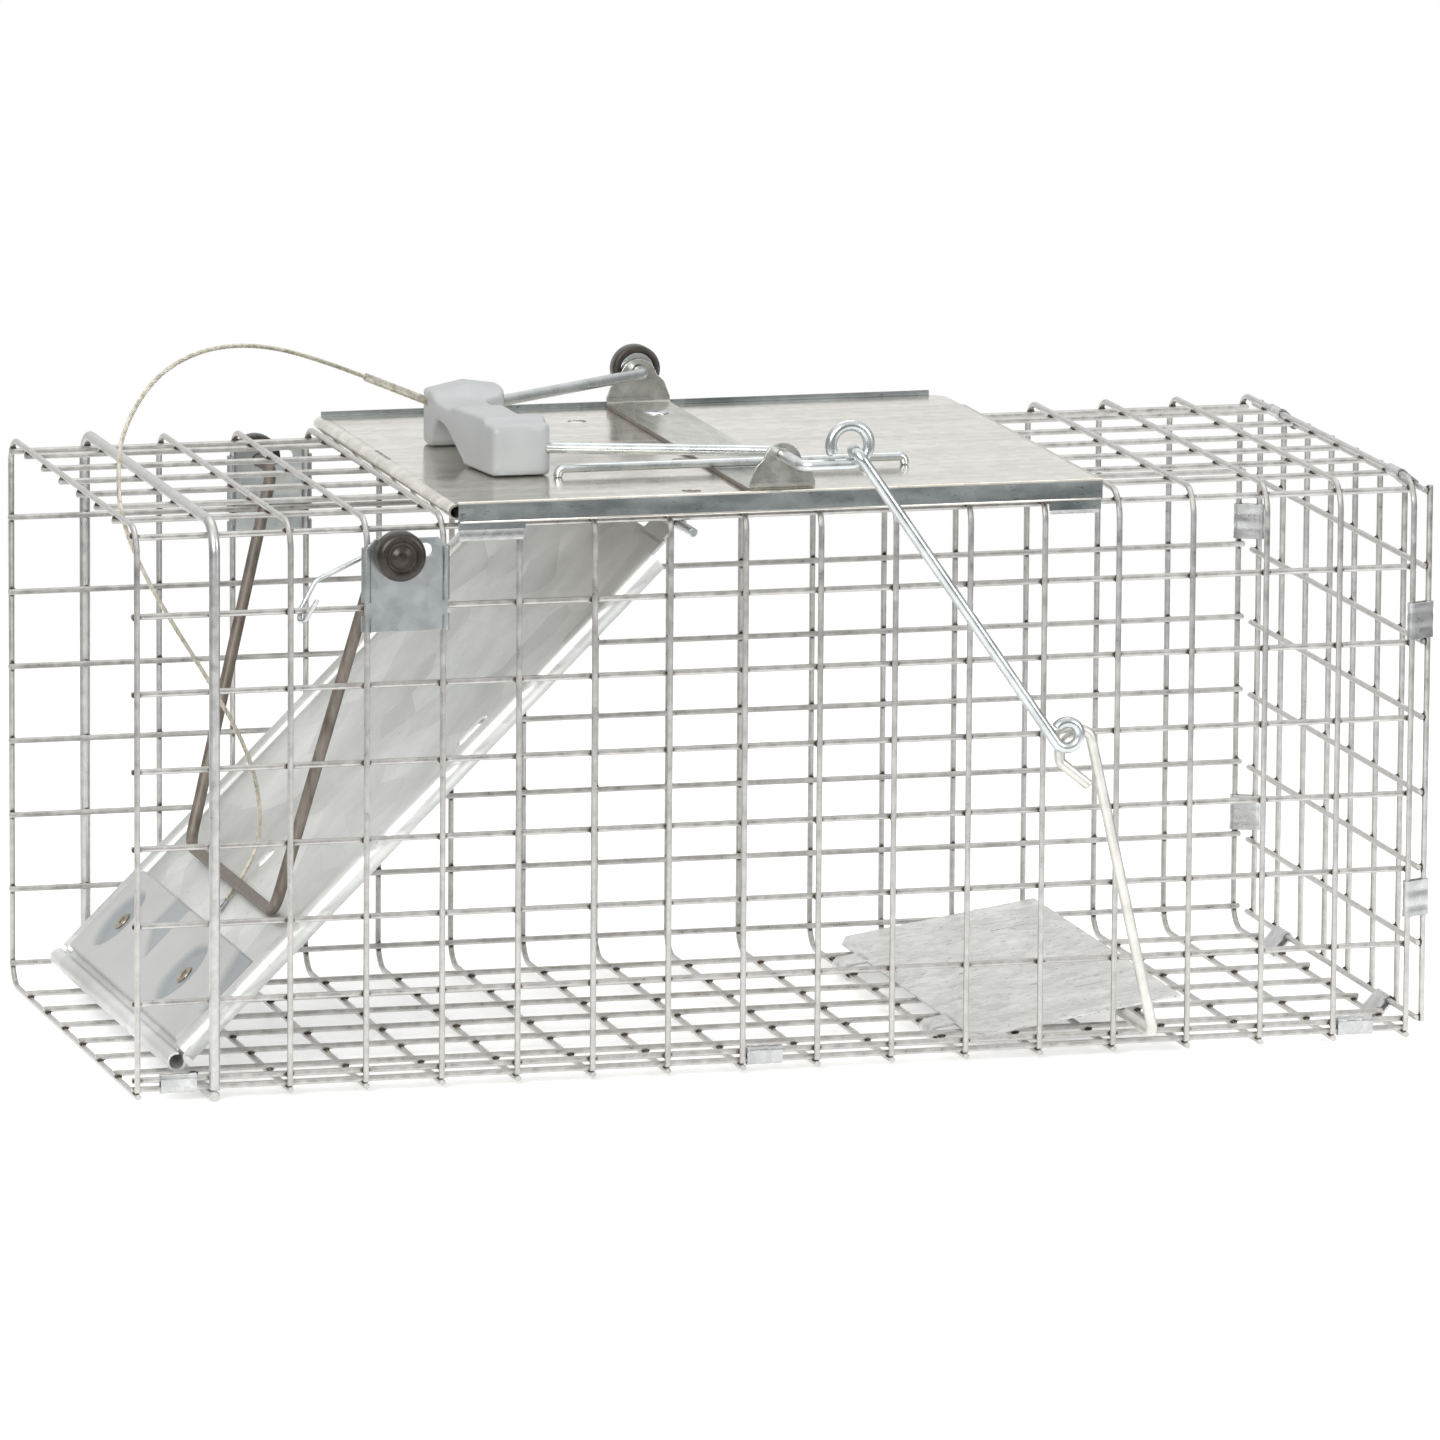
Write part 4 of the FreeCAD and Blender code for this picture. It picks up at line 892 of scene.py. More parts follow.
def build_clips():
    seam = Mesh()
    for x in (14, 211, 414.5):
        wire_clip(seam, (FLOOR_WIRE_Y, FLOOR + LAYER), (LAYER, 0), along_x, x)
    seam.finish("seam_clip_bands", "sheet", "cage", "seam_clips", soften=0.12)
    rear = Mesh()
    far = WIDTH - REAR_MARGIN
    for first, second, place, middles in (
            ((CAGE_END, ROOF), (REAR_LEVEL_X, REAR_TOP), along_y, (20, 149)),
            ((CAGE_END, FLOOR), (REAR_LEVEL_X, 0), along_y, (37, 148)),
            ((CAGE_END, 0), (REAR_UPRIGHT_X, REAR_MARGIN), along_z, (41, 134.5)),
            ((CAGE_END, WIDTH), (REAR_UPRIGHT_X, far), along_z, (35, 137))):
        for middle in middles:
            wire_clip(rear, first, second, place, middle)
    rear.finish("rear_clip_bands", "sheet", "cage", "rear_wall_clips", soften=0.12)


# ---- pull cable

STRANDS = 6
STRAND_LAY = 11
STATION = 0.8           # distance between stations along the cable


def route_line(name, route):
    """Points along the smooth spline that the route controls, in metres."""
    curve = bpy.data.curves.new(name, "CURVE")
    curve.dimensions = "3D"
    curve.resolution_u = 24
    spline = curve.splines.new("NURBS")
    spline.points.add(len(route) - 1)
    for item, point in zip(spline.points, route):
        item.co = (*at(point), 1)
    spline.order_u = 3
    spline.use_endpoint_u = True
    return [v.co.copy() for v in drawn_mesh(name, curve).vertices]


def even_line(line, step):
    """The same line with stations about a step apart."""
    lengths = [0.0]
    for a, b in zip(line, line[1:]):
        lengths.append(lengths[-1] + (b - a).length)
    count = max(2, round(lengths[-1] / step))
    result = []
    i = 0
    for k in range(count + 1):
        wanted = lengths[-1] * k / count
        while i < len(line) - 2 and lengths[i + 1] < wanted:
            i += 1
        share = (wanted - lengths[i]) / max(lengths[i + 1] - lengths[i], 1e-9)
        result.append(line[i].lerp(line[i + 1], min(1.0, share)))
    return result, lengths[-1]


def build_cable(name, route, body, node):
    """Six strands laid round a core, along its route between the cage and a moving body."""
    line, length = even_line(route_line(name, route), STATION * MM)
    path = [p / MM - ZERO for p in line]
    frames = ring_frames(path)
    strand = CABLE_DIAMETER / 6
    mesh = Mesh()
    tube(mesh, path, strand, 6)
    for k in range(STRANDS):
        helix = []
        for i, (centre, (tangent, side)) in enumerate(zip(path, frames)):
            angle = 2 * math.pi * (k / STRANDS + i * STATION / STRAND_LAY)
            helix.append(centre + turned(side, tangent.cross(side), angle) * 2 * strand)
        tube(mesh, helix, strand, 6)
    cable = mesh.finish(name, "cable", None, node, sharp=80)
    if body == "handle":
        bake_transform(cable)
    else:
        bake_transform(cable)


def build_crimp():
    """The cable folded back on itself and pressed together: two strands side by side."""
    sleeve = Mesh()
    start, end = Vector(SLEEVE_START), Vector(SLEEVE_END)
    way = (end - start).normalized()
    flat = way.cross(Vector((0, 0, 1))).normalized()
    up = flat.cross(way)
    length = (end - start).length
    lobe, apart = 0.72, 0.74
    rings = []
    for k in range(33):
        along = length * k / 32
        press = 0.9 if k in (0, 32) else 1 - 0.05 * (1 + math.cos(2 * math.pi * along / 3.2))
        ring = []
        for centre, first in ((apart, -30), (-apart, 150)):
            for step in range(10):
                angle = math.radians(first + 240 * step / 9)
                across = flat * math.cos(angle) * lobe + up * (centre + math.sin(angle) * lobe)
                ring.append(start + way * along + across * press)
        rings.append(ring)
    sleeve.loft(rings)
    sleeve.finish("cable_crimp", "cable", "handle", "cable_sleeve")


def build_cables():
    stop = Mesh()
    start = Vector(door_point(*CABLE_STOP))
    ahead = Vector(door_point(CABLE_STOP[0] + 2, CABLE_STOP[1] - 1, CABLE_STOP[2])) - start
    lathe(stop, [(0, 0.7), (0.25, 1.1), (1.6, 1.15), (2.1, 0.98), (2.9, 0.98), (3.4, 1.15), (4.75, 1.1),
                 (5, 0.6)], start, ahead, 20)
    end_stop = stop.finish("cable_end_stop", "rod", "door", "cable_stop", slot="cable_steel")
    build_cable("cable_to_grip", UPPER_ROUTE, "handle", "pull_cable_upper")
    landing = [door_point(*point) for point in LANDING_ROUTE]
    build_cable("cable_to_door", LOWER_ROUTE + landing, "door", "pull_cable_lower")
    build_crimp()


# ---- top plate and its bracket

def build_top_plate():
    """Flat sheet with holes, a curled entrance edge and a rolled front edge."""
    mesh = Mesh()
    middle = PLATE_TOP - PLATE_SHEET / 2
    lower = PLATE_FRONT + 2.4
    rim = [(PLATE_START, lower), (PLATE_END, lower)]
    rim += arc_points((PLATE_END - 5, PLATE_BACK - 6.2), 5, 0, 90, 8)
    rim.append((PLATE_START, PLATE_BACK - 1.2))
    holes = [round_hole(x, y, 3.2) for x, y in ((187, 156), (200.5, 71), (187, 9))]
    flat = drawing_plane((0, 0, middle), (1, 0, 0), (0, 1, 0))
    flat_sheet(mesh, "plate_flat", [rim] + holes, PLATE_SHEET, 0.08, flat)
    crest = PLATE_TOP + PLATE_ROLL - PLATE_SHEET / 2
    face = PLATE_FRONT + PLATE_SHEET / 2
    front = [(lower + 0.6, middle), (lower, middle), (lower - 0.5, middle + 0.35),
             (lower - 0.9, crest - 0.1), (lower - 1.3, crest), (face + 0.3, crest - 0.05),
             (face + 0.05, crest - 0.3), (face, crest - 0.6)]
    folded_sheet(mesh, front, PLATE_SHEET, along_x, PLATE_START + 0.5, PLATE_END, 6)
    curl = arc_points((PLATE_START, PLATE_TOP - 2.5), 2.15, 90, 400, 26)
    folded_sheet(mesh, [(PLATE_START + 1.5, middle)] + curl, PLATE_SHEET, along_y, PLATE_FRONT + 1.5,
                 PLATE_BACK, 4)
    hem = [(x, face, PLATE_TOP - PLATE_FLANGE + 0.3) for x in (PLATE_START + 1, 200, PLATE_END - 0.5)]
    tube(mesh, hem, 0.5, 10)
    mesh.finish("top_plate_sheet", "plate", "cage", "top_plate", sharp=50)


def build_plate_edges():
    """The plate's front flange with its two tabs and their turned lips, and its upright back lip."""
    face = PLATE_FRONT + PLATE_SHEET / 2
    top = PLATE_TOP + PLATE_ROLL - PLATE_SHEET / 2 - 0.5
    bottom = PLATE_TOP - PLATE_FLANGE
    edges = Mesh()
    folded_sheet(edges, [(face, top), (face, bottom + 0.2)], PLATE_SHEET, along_x, PLATE_START + 0.5,
                 PLATE_END, 6)
    lip = PLATE_BACK - PLATE_SHEET / 2
    middle = PLATE_TOP - PLATE_SHEET / 2
    back = [(lip - 1.6, middle), (lip - 0.7, middle + 0.05), (lip - 0.15, middle + 0.4), (lip, middle + 0.9),
            (lip, middle + 2.0)]
    folded_sheet(edges, back, PLATE_SHEET, along_x, PLATE_START, PLATE_END - 5, 6)
    turned = Mesh()
    for x0, x1, low, height in ((106, 128.3, 173.6, 3.6), (305.5, 323, 175.1, 1.2)):
        folded_sheet(edges, [(face, bottom + 0.4), (face, low + height)], PLATE_SHEET, along_x, x0, x1, 2)
        lip = [(face + 0.05, low + height + 0.2), (face - 0.35, low + height - 0.3),
               (face - 0.5, low + height * 0.5), (face - 0.3, low + 0.4), (face + 0.3, low + 0.35)]
        folded_sheet(turned, lip, 0.6, along_x, x0 + 0.2, x1 - 0.6, 2)
    # the flange look paints shade into the front flange, its tabs and the back lip
    edges.finish("top_plate_edges", "flange", "cage")
    turned.finish("top_plate_tab_lips", "sheet", "cage")


def build_ear_bracket():
    mesh = Mesh()
    middle = PLATE_TOP + 0.02 + EAR_SHEET / 2
    front, back = EAR_FRONT + EAR_SHEET / 2, EAR_BACK + EAR_SHEET / 2
    level = middle + EAR_TURN
    band = [(front, level + 1.2)] + arc_points((front + EAR_TURN, level), EAR_TURN, 180, 270, 6)
    band += arc_points((back - EAR_TURN, level), EAR_TURN, 270, 360, 6) + [(back, level + 1.2)]
    end = STRIP_START + STRIP_WIDTH
    folded_sheet(mesh, band, EAR_SHEET, along_x, STRIP_START, end, 2)
    foot = level + 1
    head = arc_points((PIVOT_X, PIVOT_Z - 2.5), 6.4, 12, 168, 14)
    ear = [(STRIP_START, foot), (end, foot), (end - 2.0, PIVOT_Z - 3.8)] + head
    ear.append((STRIP_START + 2.0, PIVOT_Z - 3.8))
    hole = round_hole(PIVOT_X, PIVOT_Z, BAIL_WIRE + 0.25)
    for y in (front, back):
        wall = drawing_plane((0, y, 0), (1, 0, 0), (0, 0, 1))
        flat_sheet(mesh, "ear", [ear, hole], EAR_SHEET, 0.12, wall)
    mesh.finish("ear_bracket_strip", "strip", "cage", "ear_bracket")
    # A dark raw-steel band along the strip's left edge only: partly the raw steel of the cut edge, partly
    # painted shadow in the gap on the shaded side.
    edge_and_shadow = Mesh()
    face = [(STRIP_START - 0.3, PLATE_TOP + rise) for rise in (0.1, EAR_SHEET)]
    folded_sheet(edge_and_shadow, face, 0.6, along_y, EAR_FRONT + 2, EAR_BACK - 2, 2)
    edge_and_shadow.finish("ear_bracket_cut_edge_and_painted_shadow", "raw", "cage", slot="galvanised_sheet")
    rivets = Mesh()
    top = PLATE_TOP + 0.02 + EAR_SHEET
    for y in BRACKET_RIVETS:
        lathe(rivets, [(0, 4.4), (0.25, 4.4), (0.6, 4.0), (0.82, 3.2), (0.9, 2.2), (0.88, 1.2), (0.7, 0.3)],
              (PIVOT_X, y, top), (0, 0, 1))
    rivets.finish("bracket_rivet_heads", "rod", "cage", "bracket_rivets")


def build_plate_rail():
    foot = PLATE_TOP + 0.05
    top = foot + RAIL_HEIGHT
    path = rounded_path([(RAIL_START, RAIL_Y, foot), (RAIL_START, RAIL_Y, top), (RAIL_END, RAIL_Y, top),
                         (RAIL_END, RAIL_Y, foot)], 2.0)
    rod_piece("plate_rail_wire", "rod", "cage", "plate_rail", path, RAIL_WIRE, 16)


# ---- handle

def build_bail():
    """One wire: capped end, back leg, cross-piece in the grip, front leg, crank and ring."""
    x, z = PIVOT_X, PIVOT_Z
    points = [(x, 190.1, z), (x, 176, z), (149, 122, 198.6), (HOLD_X, 112, 199), (HOLD_X, 72, 199),
              (HOLD_X, 60, 196.5), (149, 49.5, 194.8), (x, 9, z), (x, CRANK_Y, z),
              (x + CRANK_REACH, CRANK_Y, z)]
    path = rounded_path(points, [5, 6, 6, 6, 4, 5, 5, 3.4], 10)
    for px, pz in arc_points((x + CRANK_REACH, z + RING), RING, -90, 207, 44)[1:]:
        path.append(Vector((px, CRANK_Y, pz)))
    rod_piece("bail_wire", "rod", "handle", "handle_bail", path, BAIL_WIRE)


# along y: left x, right x, underside z, left top z, ridge z, right top z
GRIP_SECTIONS = [
    (47.4, 131.6, 145.0, 188.2, 200.8, 201.0, 200.8),
    (48.0, 130.4, 147.8, 186.5, 202.3, 202.4, 202.3),
    (49.4, 129.9, 149.7, 185.95, 202.7, 202.8, 202.7),
    (54.8, 129.0, 150.0, 185.95, 202.7, 202.8, 202.7),
    (56.0, 128.9, 150.0, 185.95, 203.9, 204.0, 203.9),
    (57.2, 128.7, 150.0, 185.95, 204.4, 204.5, 204.4),
    (59.8, 128.4, 150.0, 185.95, 204.4, 204.5, 204.4),
    (60.6, 128.2, 149.2, 185.95, 204.4, 204.5, 204.4),
    (61.4, 128.1, 143.4, 185.95, 204.4, 204.5, 204.4),
    (62.6, 128.0, 142.8, 185.95, 204.4, 204.5, 204.4),
    (73.0, 126.6, 142.7, 185.95, 204.4, 204.5, 204.4),
    (74.4, 126.4, 142.7, 187.2, 204.4, 204.5, 204.4),
    (78.0, 125.9, 142.7, 189.4, 204.3, 204.4, 204.3),
    (82.0, 125.5, 142.7, 191.7, 204.2, 204.3, 204.2),
    (85.0, 125.4, 142.7, 193.0, 203.6, 203.7, 203.6),
    (88.0, 125.3, 142.7, 194.1, 202.6, 202.7, 202.6),
    (92.0, 125.3, 142.7, 195.2, 202.2, 202.3, 202.2),
    (98.0, 125.3, 142.7, 195.9, 202.1, 202.2, 202.1),
    (104.0, 125.3, 142.8, 195.8, 202.2, 202.3, 202.2),
    (106.4, 125.3, 144.2, 194.6, 202.4, 202.7, 202.6),
    (108.4, 125.3, 148.6, 192.8, 202.9, 203.6, 203.3),
    (110.0, 125.3, 149.9, 191.3, 203.6, 205.0, 204.2),
    (112.0, 125.3, 150.1, 188.6, 204.3, 206.5, 205.1),
    (113.8, 125.3, 150.1, 186.2, 204.5, 207.1, 205.4),
    (115.0, 125.3, 150.1, 185.95, 204.5, 207.25, 205.5),
    (120.0, 125.3, 150.1, 185.95, 204.5, 207.25, 205.5),
    (122.4, 125.5, 149.8, 185.95, 204.2, 206.8, 205.2),
    (123.4, 126.2, 149.2, 186.5, 203.4, 205.9, 204.4),
    (123.9, 127.6, 147.8, 188.2, 201.6, 203.6, 202.6),
]


def build_grip():
    rings = []
    for y, left, right, under, left_top, ridge, right_top in GRIP_SECTIONS:
        crown = left + 0.52 * (right - left)
        outline = rounded_outline([(left, under), (right, under), (right, right_top), (crown, ridge),
                                   (left, left_top)], 1.5, 5)
        rings.append([(x, y, z) for x, z in outline])
    mesh = Mesh()
    mesh.loft(rings)
    mesh.finish("grip_moulding", "grip", "handle", "handle_grip", sharp=48)


def rubber_cap(mesh, face, outward, x, z, length):
    """A moulded cap: recess on the cage side, and a rim, dish and boss on its outer face."""
    recess = NUT_RADIUS + 0.4
    profile = [(1.6, 2.2), (1.6, recess), (0, recess), (0, CAP_RADIUS - 0.9), (0.25, CAP_RADIUS - 0.3),
               (0.9, CAP_RADIUS)]
    for before_end, inset in ((1.8, 0), (0.8, 0.45), (0.2, 1.2), (0, 2.1), (0.05, 2.8), (0.9, 3.4),
                              (1.2, 4.4), (1.0, 5.2), (0.4, 5.8)):
        profile.append((length - before_end, CAP_RADIUS - inset))
    profile += [(length - 0.2, 1.4), (length - 0.15, 0.3)]
    lathe(mesh, profile, (x, face, z), (0, outward, 0), 48)


def push_nut(mesh, face, outward, x, z, bore):
    profile = [(0.5, bore), (0.5, NUT_RADIUS), (0.95, NUT_RADIUS), (1.1, NUT_RADIUS - 0.3), (1.1, bore)]
    lathe(mesh, profile, (x, face, z), (0, outward, 0), 40, hollow=True)


def build_handle_fittings():
    cap = Mesh()
    rubber_cap(cap, CAP_FACE, 1, PIVOT_X, PIVOT_Z, CAP_LENGTH)
    cap.finish("bail_cap", "rubber", "handle", "bail_end_cap")
    nut = Mesh()
    push_nut(nut, CAP_FACE, 1, PIVOT_X, PIVOT_Z, BAIL_WIRE + 0.02)
    nut.finish("bail_nut", "rod", "handle", "bail_push_nut")


# ---- door

def build_door():
    """Sheet with slots, both sides and the toe rolled over, and two knuckles round the hinge rod."""
    mesh = Mesh()
    front, back = DOOR_FRONT + SIDE_ROLL, DOOR_BACK - SIDE_ROLL
    down = Vector(door_point(1, 0, 0)) - Vector(door_point(0, 0, 0))
    slope = drawing_plane((HINGE_X, 0, HINGE_Z), down, (0, 1, 0))
    rim = [(7, front + 3.5), (DOOR_LENGTH - 2.6, front + 3.5), (DOOR_LENGTH - 2.6, back - 3.5),
           (7, back - 3.5)]
    slots = [slot_hole(88, 102, 23, 2.5), slot_hole(98, 107, 17.2, 1.9), slot_hole(166, 174, 90, 2.5)]
    flat_sheet(mesh, "door_flat", [rim] + slots, DOOR_SHEET, 0.06, slope)
    centre = SIDE_ROLL - DOOR_SHEET / 2
    for y, inwards in ((front, 1), (back, -1)):
        roll = [(y + inwards * 6, 0), (y + inwards * 4.4, 0.0), (y + inwards * 3.75, 0.15)]
        roll += [(y + inwards * a, b - SIDE_SINK) for a, b in arc_points((0, 0), centre, 24, 338, 30)]
        folded_sheet(mesh, roll, DOOR_SHEET, down_door, 14, DOOR_LENGTH - 4, 4)
    toe = [(DOOR_LENGTH - 7, 0), (DOOR_LENGTH - 4.2, -0.05), (DOOR_LENGTH - 3.3, -0.4)]
    toe += arc_points((DOOR_LENGTH, 0), TOE_ROLL - DOOR_SHEET / 2, 196, 510, 28)
    folded_sheet(mesh, toe, DOOR_SHEET, across_door, DOOR_FRONT, DOOR_BACK, 4)
    knuckle = [(9, 0), (3.4, 0)] + arc_points((0, 0), 2.2, 10, 300, 18)
    for start in KNUCKLES:
        folded_sheet(mesh, knuckle, DOOR_SHEET, across_door, start, start + KNUCKLE_WIDTH)
    mesh.finish("door_sheet", "door", "door", "door_plate", sharp=50)


RIVET_PLACES = (153, 61)    # y of the toe cover's two wells and of the rivets in them


def smooth_share(value):
    """From 0 to 1 with soft ends."""
    value = min(1.0, max(0.0, value))
    return value * value * (3 - 2 * value)


def cover_sink(along, y):
    """Depth of the toe cover's relief: two lens-shaped wells, a tapered facet and a sloped near end."""
    sink = 0.0
    for middle in RIVET_PLACES:
        across = abs(y - middle) / 12.5
        down = abs(along - (COVER_START + COVER_END) / 2) / 13
        sink = max(sink, 1.85 * smooth_share((1 - across ** 1.6 - down ** 2) / 0.4))
    slanted = 124 - 1.9 * max(0.0, along - 210)
    sink = max(sink, 1.0 * smooth_share(min(y - 101, slanted - y) / 2.2))
    return max(sink, 1.5 * smooth_share((33 - 0.75 * (along - 202) - y) / 5))


def build_toe_cover():
    base = DOOR_SHEET / 2 + 0.02
    near, far = DOOR_FRONT + 2 * SIDE_ROLL + 0.3, DOOR_BACK - 2 * SIDE_ROLL - 0.3
    rows, columns, rim = 48, 170, 1.6
    top, foot, marks = [], [], []
    for i in range(rows + 1):
        along = COVER_START + (COVER_END - COVER_START) * i / rows
        clipped = max(0.0, COVER_START + 3 - along)
        for j in range(columns + 1):
            y = near + clipped + (far - near - 2 * clipped) * j / columns
            edge = min(along - COVER_START, COVER_END - along, y - near - clipped, far - clipped - y)
            inside = min(rim, max(0.0, edge))
            drop = 0.8 * (rim - math.sqrt(rim ** 2 - (rim - inside) ** 2))
            sink = cover_sink(along, y)
            top.append(door_point(along, y, base + max(0.3, COVER_HEIGHT - drop - sink)))
            foot.append(door_point(along, y, base))
            # painted shade: the deeper a place sinks, the darker its colour
            marks.append(0.75 * min(1.0, sink / 1.2))
    wide = columns + 1
    mesh = Mesh()
    mesh.add(top, [(i * wide + j, (i + 1) * wide + j, (i + 1) * wide + j + 1, i * wide + j + 1)
                   for i in range(rows) for j in range(columns)], marks)
    loop = list(range(wide)) + [i * wide + columns for i in range(1, rows + 1)]
    loop += [rows * wide + j for j in range(columns - 1, -1, -1)] + [i * wide for i in range(rows - 1, 0, -1)]
    mesh.loft([[foot[k] for k in loop], [top[k] for k in loop]], caps=False)
    mesh.add([foot[k] for k in loop], [tuple(range(len(loop)))])
    mesh.finish("toe_cover_moulding", "cover", "door", "door_toe_cover")


def build_door_rivets():
    """Hollow rivets in the wells of the toe cover."""
    middle = (COVER_START + COVER_END) / 2
    foot = DOOR_SHEET / 2 + 0.02
    mesh = Mesh()
    for y in RIVET_PLACES:
        start = Vector(door_point(middle, y, foot))
        way = Vector(door_point(middle, y, foot + 1)) - start
        profile = [(0.1, 1.4), (0.1, 2.2), (1.35, 2.25), (1.4, 3.1), (1.55, 3.3), (1.8, 3.15), (2.0, 2.6),
                   (1.98, 1.8), (1.7, 1.4)]
        lathe(mesh, profile, start, way, 32, hollow=True)
    mesh.finish("hollow_rivets", "rivet", "door", "door_rivets")


def build_hinge_rod():
    path = [(HINGE_X, y, HINGE_Z) for y in (-HINGE_END, 60, 130, WIDTH + HINGE_END)]
    rod_piece("hinge_rod", "rod", "cage", "door_hinge_rod", path, HINGE_WIRE)


# ---- lock bar, brackets and spring

def build_lock_bar():
    foot = door_point(LOCK_ALONG, 0, LOCK_ABOVE)
    points = [(LOCK_X, -LOCK_OUT, LOCK_Z), (LOCK_X, LOCK_FRONT, LOCK_Z), (foot[0], LOCK_FOOT_FRONT, foot[2]),
              (foot[0], LOCK_FOOT_BACK, foot[2]), (LOCK_X, LOCK_BACK, LOCK_Z),
              (LOCK_X, WIDTH + LOCK_OUT, LOCK_Z)]
    rod_piece("lock_bar_rod", "raw", "lock_bar", "lock_bar", rounded_path(points, 7, 10), LOCK_WIRE)
    caps = Mesh()
    nuts = Mesh()
    for face, outward in ((-LOCK_CAP_FACE, -1), (WIDTH + LOCK_CAP_FACE, 1)):
        rubber_cap(caps, face, outward, LOCK_X, LOCK_Z, LOCK_CAP_LENGTH)
        push_nut(nuts, face, outward, LOCK_X, LOCK_Z, LOCK_WIRE + 0.02)
    caps.finish("lock_caps", "rubber", "lock_bar", "lock_bar_caps")
    nuts.finish("lock_nuts", "rod", "lock_bar", "lock_bar_push_nuts")


def build_side_bracket(name, node, wall, outward):
    """Wall plate whose two upright edges wrap round the cage's wires, split where a long wire crosses."""
    mesh = Mesh()
    left, right = 3 * PITCH - 0.9, 4 * PITCH + 0.9
    low, high = BRACKET_LOW, BRACKET_HIGH
    outline = [(left, low), (right, low), (right, high - 3), (right - 3, high), (left + 3, high),
               (left, high - 3)]
    slot = arc_points((LOCK_X + 9.6, LOCK_Z + 0.9), SLOT_RADIUS, -84.6, 95.4, 8)
    slot += arc_points((LOCK_X, LOCK_Z), SLOT_RADIUS, 95.4, 275.4, 8)
    middle = wall + outward * BRACKET_WRAP
    plane = drawing_plane((0, middle, 0), (1, 0, 0), (0, 0, 1))
    flat_sheet(mesh, name, [outline, slot], BRACKET_SHEET, 0.12, plane)
    for x, side in ((3 * PITCH, -1), (4 * PITCH, 1)):
        wrap = [(x - side * 0.8, middle)]
        for dx, dy in arc_points((0, 0), BRACKET_WRAP, 0, 165, 10):
            wrap.append((x + side * dy, wall + outward * dx))
        for z0, z1 in ((low, 150.1), (154.7, high - 3)):
            folded_sheet(mesh, wrap, BRACKET_SHEET, along_z, z0, z1, 2)
    mesh.finish(name, "wall", "cage", node)


def build_side_brackets():
    build_side_bracket("front_wall_plate", "side_bracket_front", 0, -1)
    build_side_bracket("back_wall_plate", "side_bracket_back", WIDTH, 1)


def build_lock_spring():
    steps = SPRING_TURNS * 18
    path = []
    for k in range(int(steps) + 1):
        angle = math.radians(150 + 20 * k)
        path.append(Vector((LOCK_X + SPRING_RADIUS * math.cos(angle), 5.5 + 6.2 * k / steps,
                            LOCK_Z + SPRING_RADIUS * math.sin(angle))))
    leg = [(LOCK_X - 2.9, 5.5, LOCK_Z + 1.9), (77, 5.6, 168.9), (60.3, 5.3, 161.4), (55.2, 4.9, 152.2),
           (54.4, 3.4, 148.9), (55.6, 0.5, 149.2), (59.6, -0.3, 156)]
    path = rounded_path(leg, [3, 4, 1.6, 1.4, 1.4], 6)[::-1] + path
    rod_piece("lock_spring_wire", "rod", "cage", "lock_spring", path, SPRING_WIRE, 12)


# ---- treadle and trigger

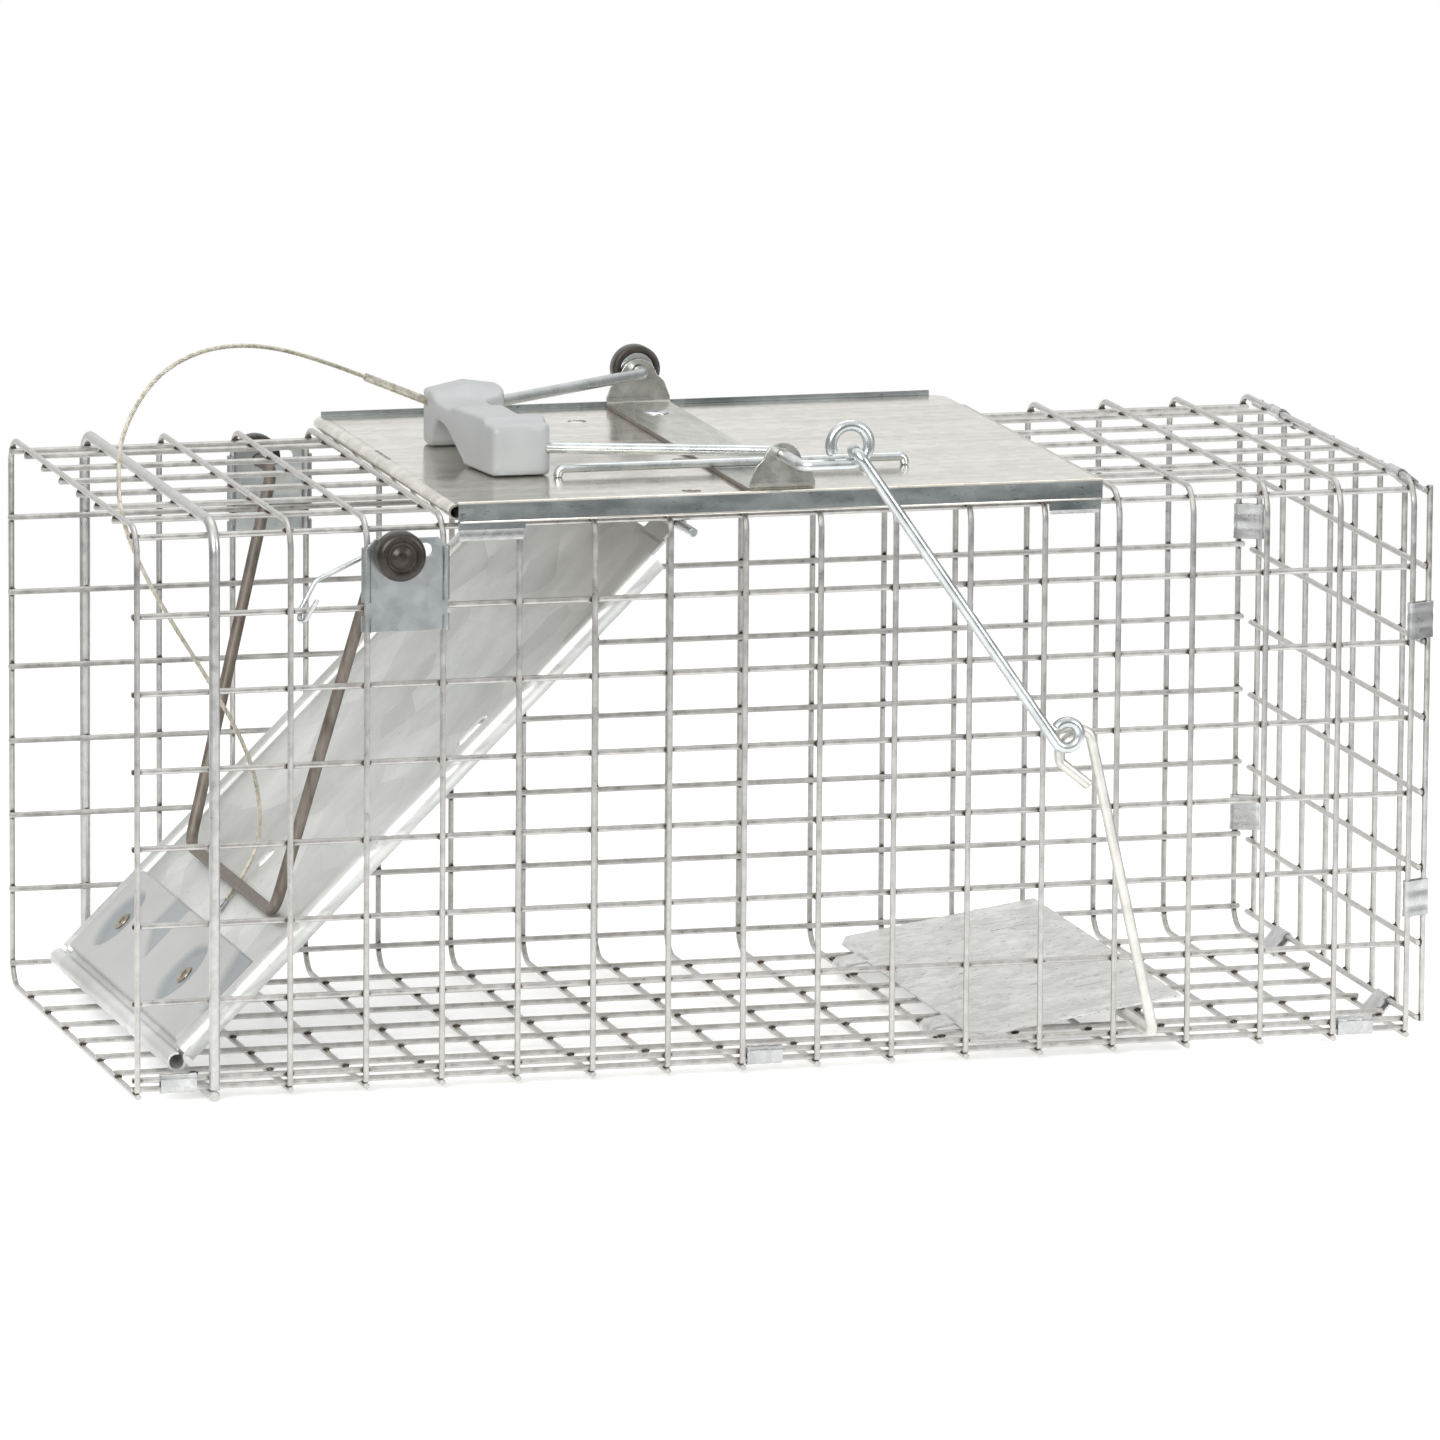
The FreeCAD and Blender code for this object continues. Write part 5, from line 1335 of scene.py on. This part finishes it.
def build_treadle():
    """Pan with clipped corners, two tabs rolled round a hoop, and two loops round the axle."""
    mesh = Mesh()
    run, rise = AXLE_X - PAN_X, AXLE_Z - PAN_Z
    axle_along = run * math.cos(PAN_TILT) + rise * math.sin(PAN_TILT)
    axle_above = rise * math.cos(PAN_TILT) - run * math.sin(PAN_TILT)
    across = Vector(pan_point(1, 0, 0)) - Vector(pan_point(0, 0, 0))
    plane = drawing_plane(pan_point(0, 0, PAN_RISE), across, (0, 1, 0))
    rim = [(6, 18), (10, 9), (78, 9), (78, 178), (10, 178), (6, 169)]
    slits = []
    for start in AXLE_LOOPS:
        for edge in (start - 2.2, start + 7.8):
            slits.append([(axle_along - 6, edge), (axle_along + 6, edge), (axle_along + 6, edge + 1.4),
                          (axle_along - 6, edge + 1.4)])
    flat_sheet(mesh, "pan_flat", [rim] + slits, PAN_SHEET, 0.1, plane)
    tab = [(7.5, PAN_RISE)] + arc_points((0, 0), PAN_RISE, 90, 305, 20)
    for start in PAN_TABS:
        folded_sheet(mesh, tab, PAN_SHEET, across_pan, start, start + 14)
    loop = arc_points((axle_along, axle_above), 2.42, 178, 362, 16)
    for start in AXLE_LOOPS:
        folded_sheet(mesh, loop, PAN_SHEET, across_pan, start, start + 7)
    mesh.finish("treadle_sheet", "pan", "treadle", "treadle_pan")


def build_trigger_arm():
    points = [(313.9, ARM_Y, 88.4), (303.8, ARM_Y, 96.6), (303.4, ARM_Y, 105.6), (313.6, ARM_Y, 107.4),
              (AXLE_X, ARM_Y, AXLE_Z), (AXLE_X, 184, AXLE_Z)]
    path = rounded_path(points, [2.6, 3.4, 3.6, 4], 9)
    rod_piece("trigger_arm_rod", "arm", "trigger_arm", "trigger_arm", path, AXLE_WIRE)


def eye_arc(centre, first, second, start, end):
    """An eye of the trigger rod, in the plane of two directions. Angles in degrees."""
    arc = arc_points((0, 0), ROD_EYE, start, end, 36)
    return [centre + first * u + second * v for u, v in arc]


def build_trigger_rod():
    """Upper eye through the handle's ring, straight shank, lower eye beside the arm's hook."""
    centre = Vector((PIVOT_X + CRANK_REACH, CRANK_Y, PIVOT_Z + RING))
    foot = Vector(ROD_FOOT)
    down = (foot - centre).normalized()
    side = Vector((0, 1, 0))
    right = Vector((-down.z, 0, down.x))
    path = eye_arc(centre + down * RING, -side, -down, 285, 0)
    shank_end = foot - side * ROD_EYE - down
    path += eye_arc(shank_end + right * ROD_EYE, -right, down, 0, 292)
    rod_piece("trigger_link", "rod", "trigger_rod", "trigger_rod", path, ROD_WIRE)


# ---- build

add_camera()
LOOKS = make_looks()
for build in (build_long_wires, build_hoops, build_rear_wall, build_weld_beads, build_clips,
              build_top_plate, build_plate_edges, build_ear_bracket, build_plate_rail, build_bail,
              build_grip, build_handle_fittings, build_cables, build_door, build_toe_cover,
              build_door_rivets, build_hinge_rod, build_lock_bar, build_side_brackets,
              build_lock_spring, build_treadle, build_trigger_arm, build_trigger_rod):
    build()
add_floor()
add_studio()
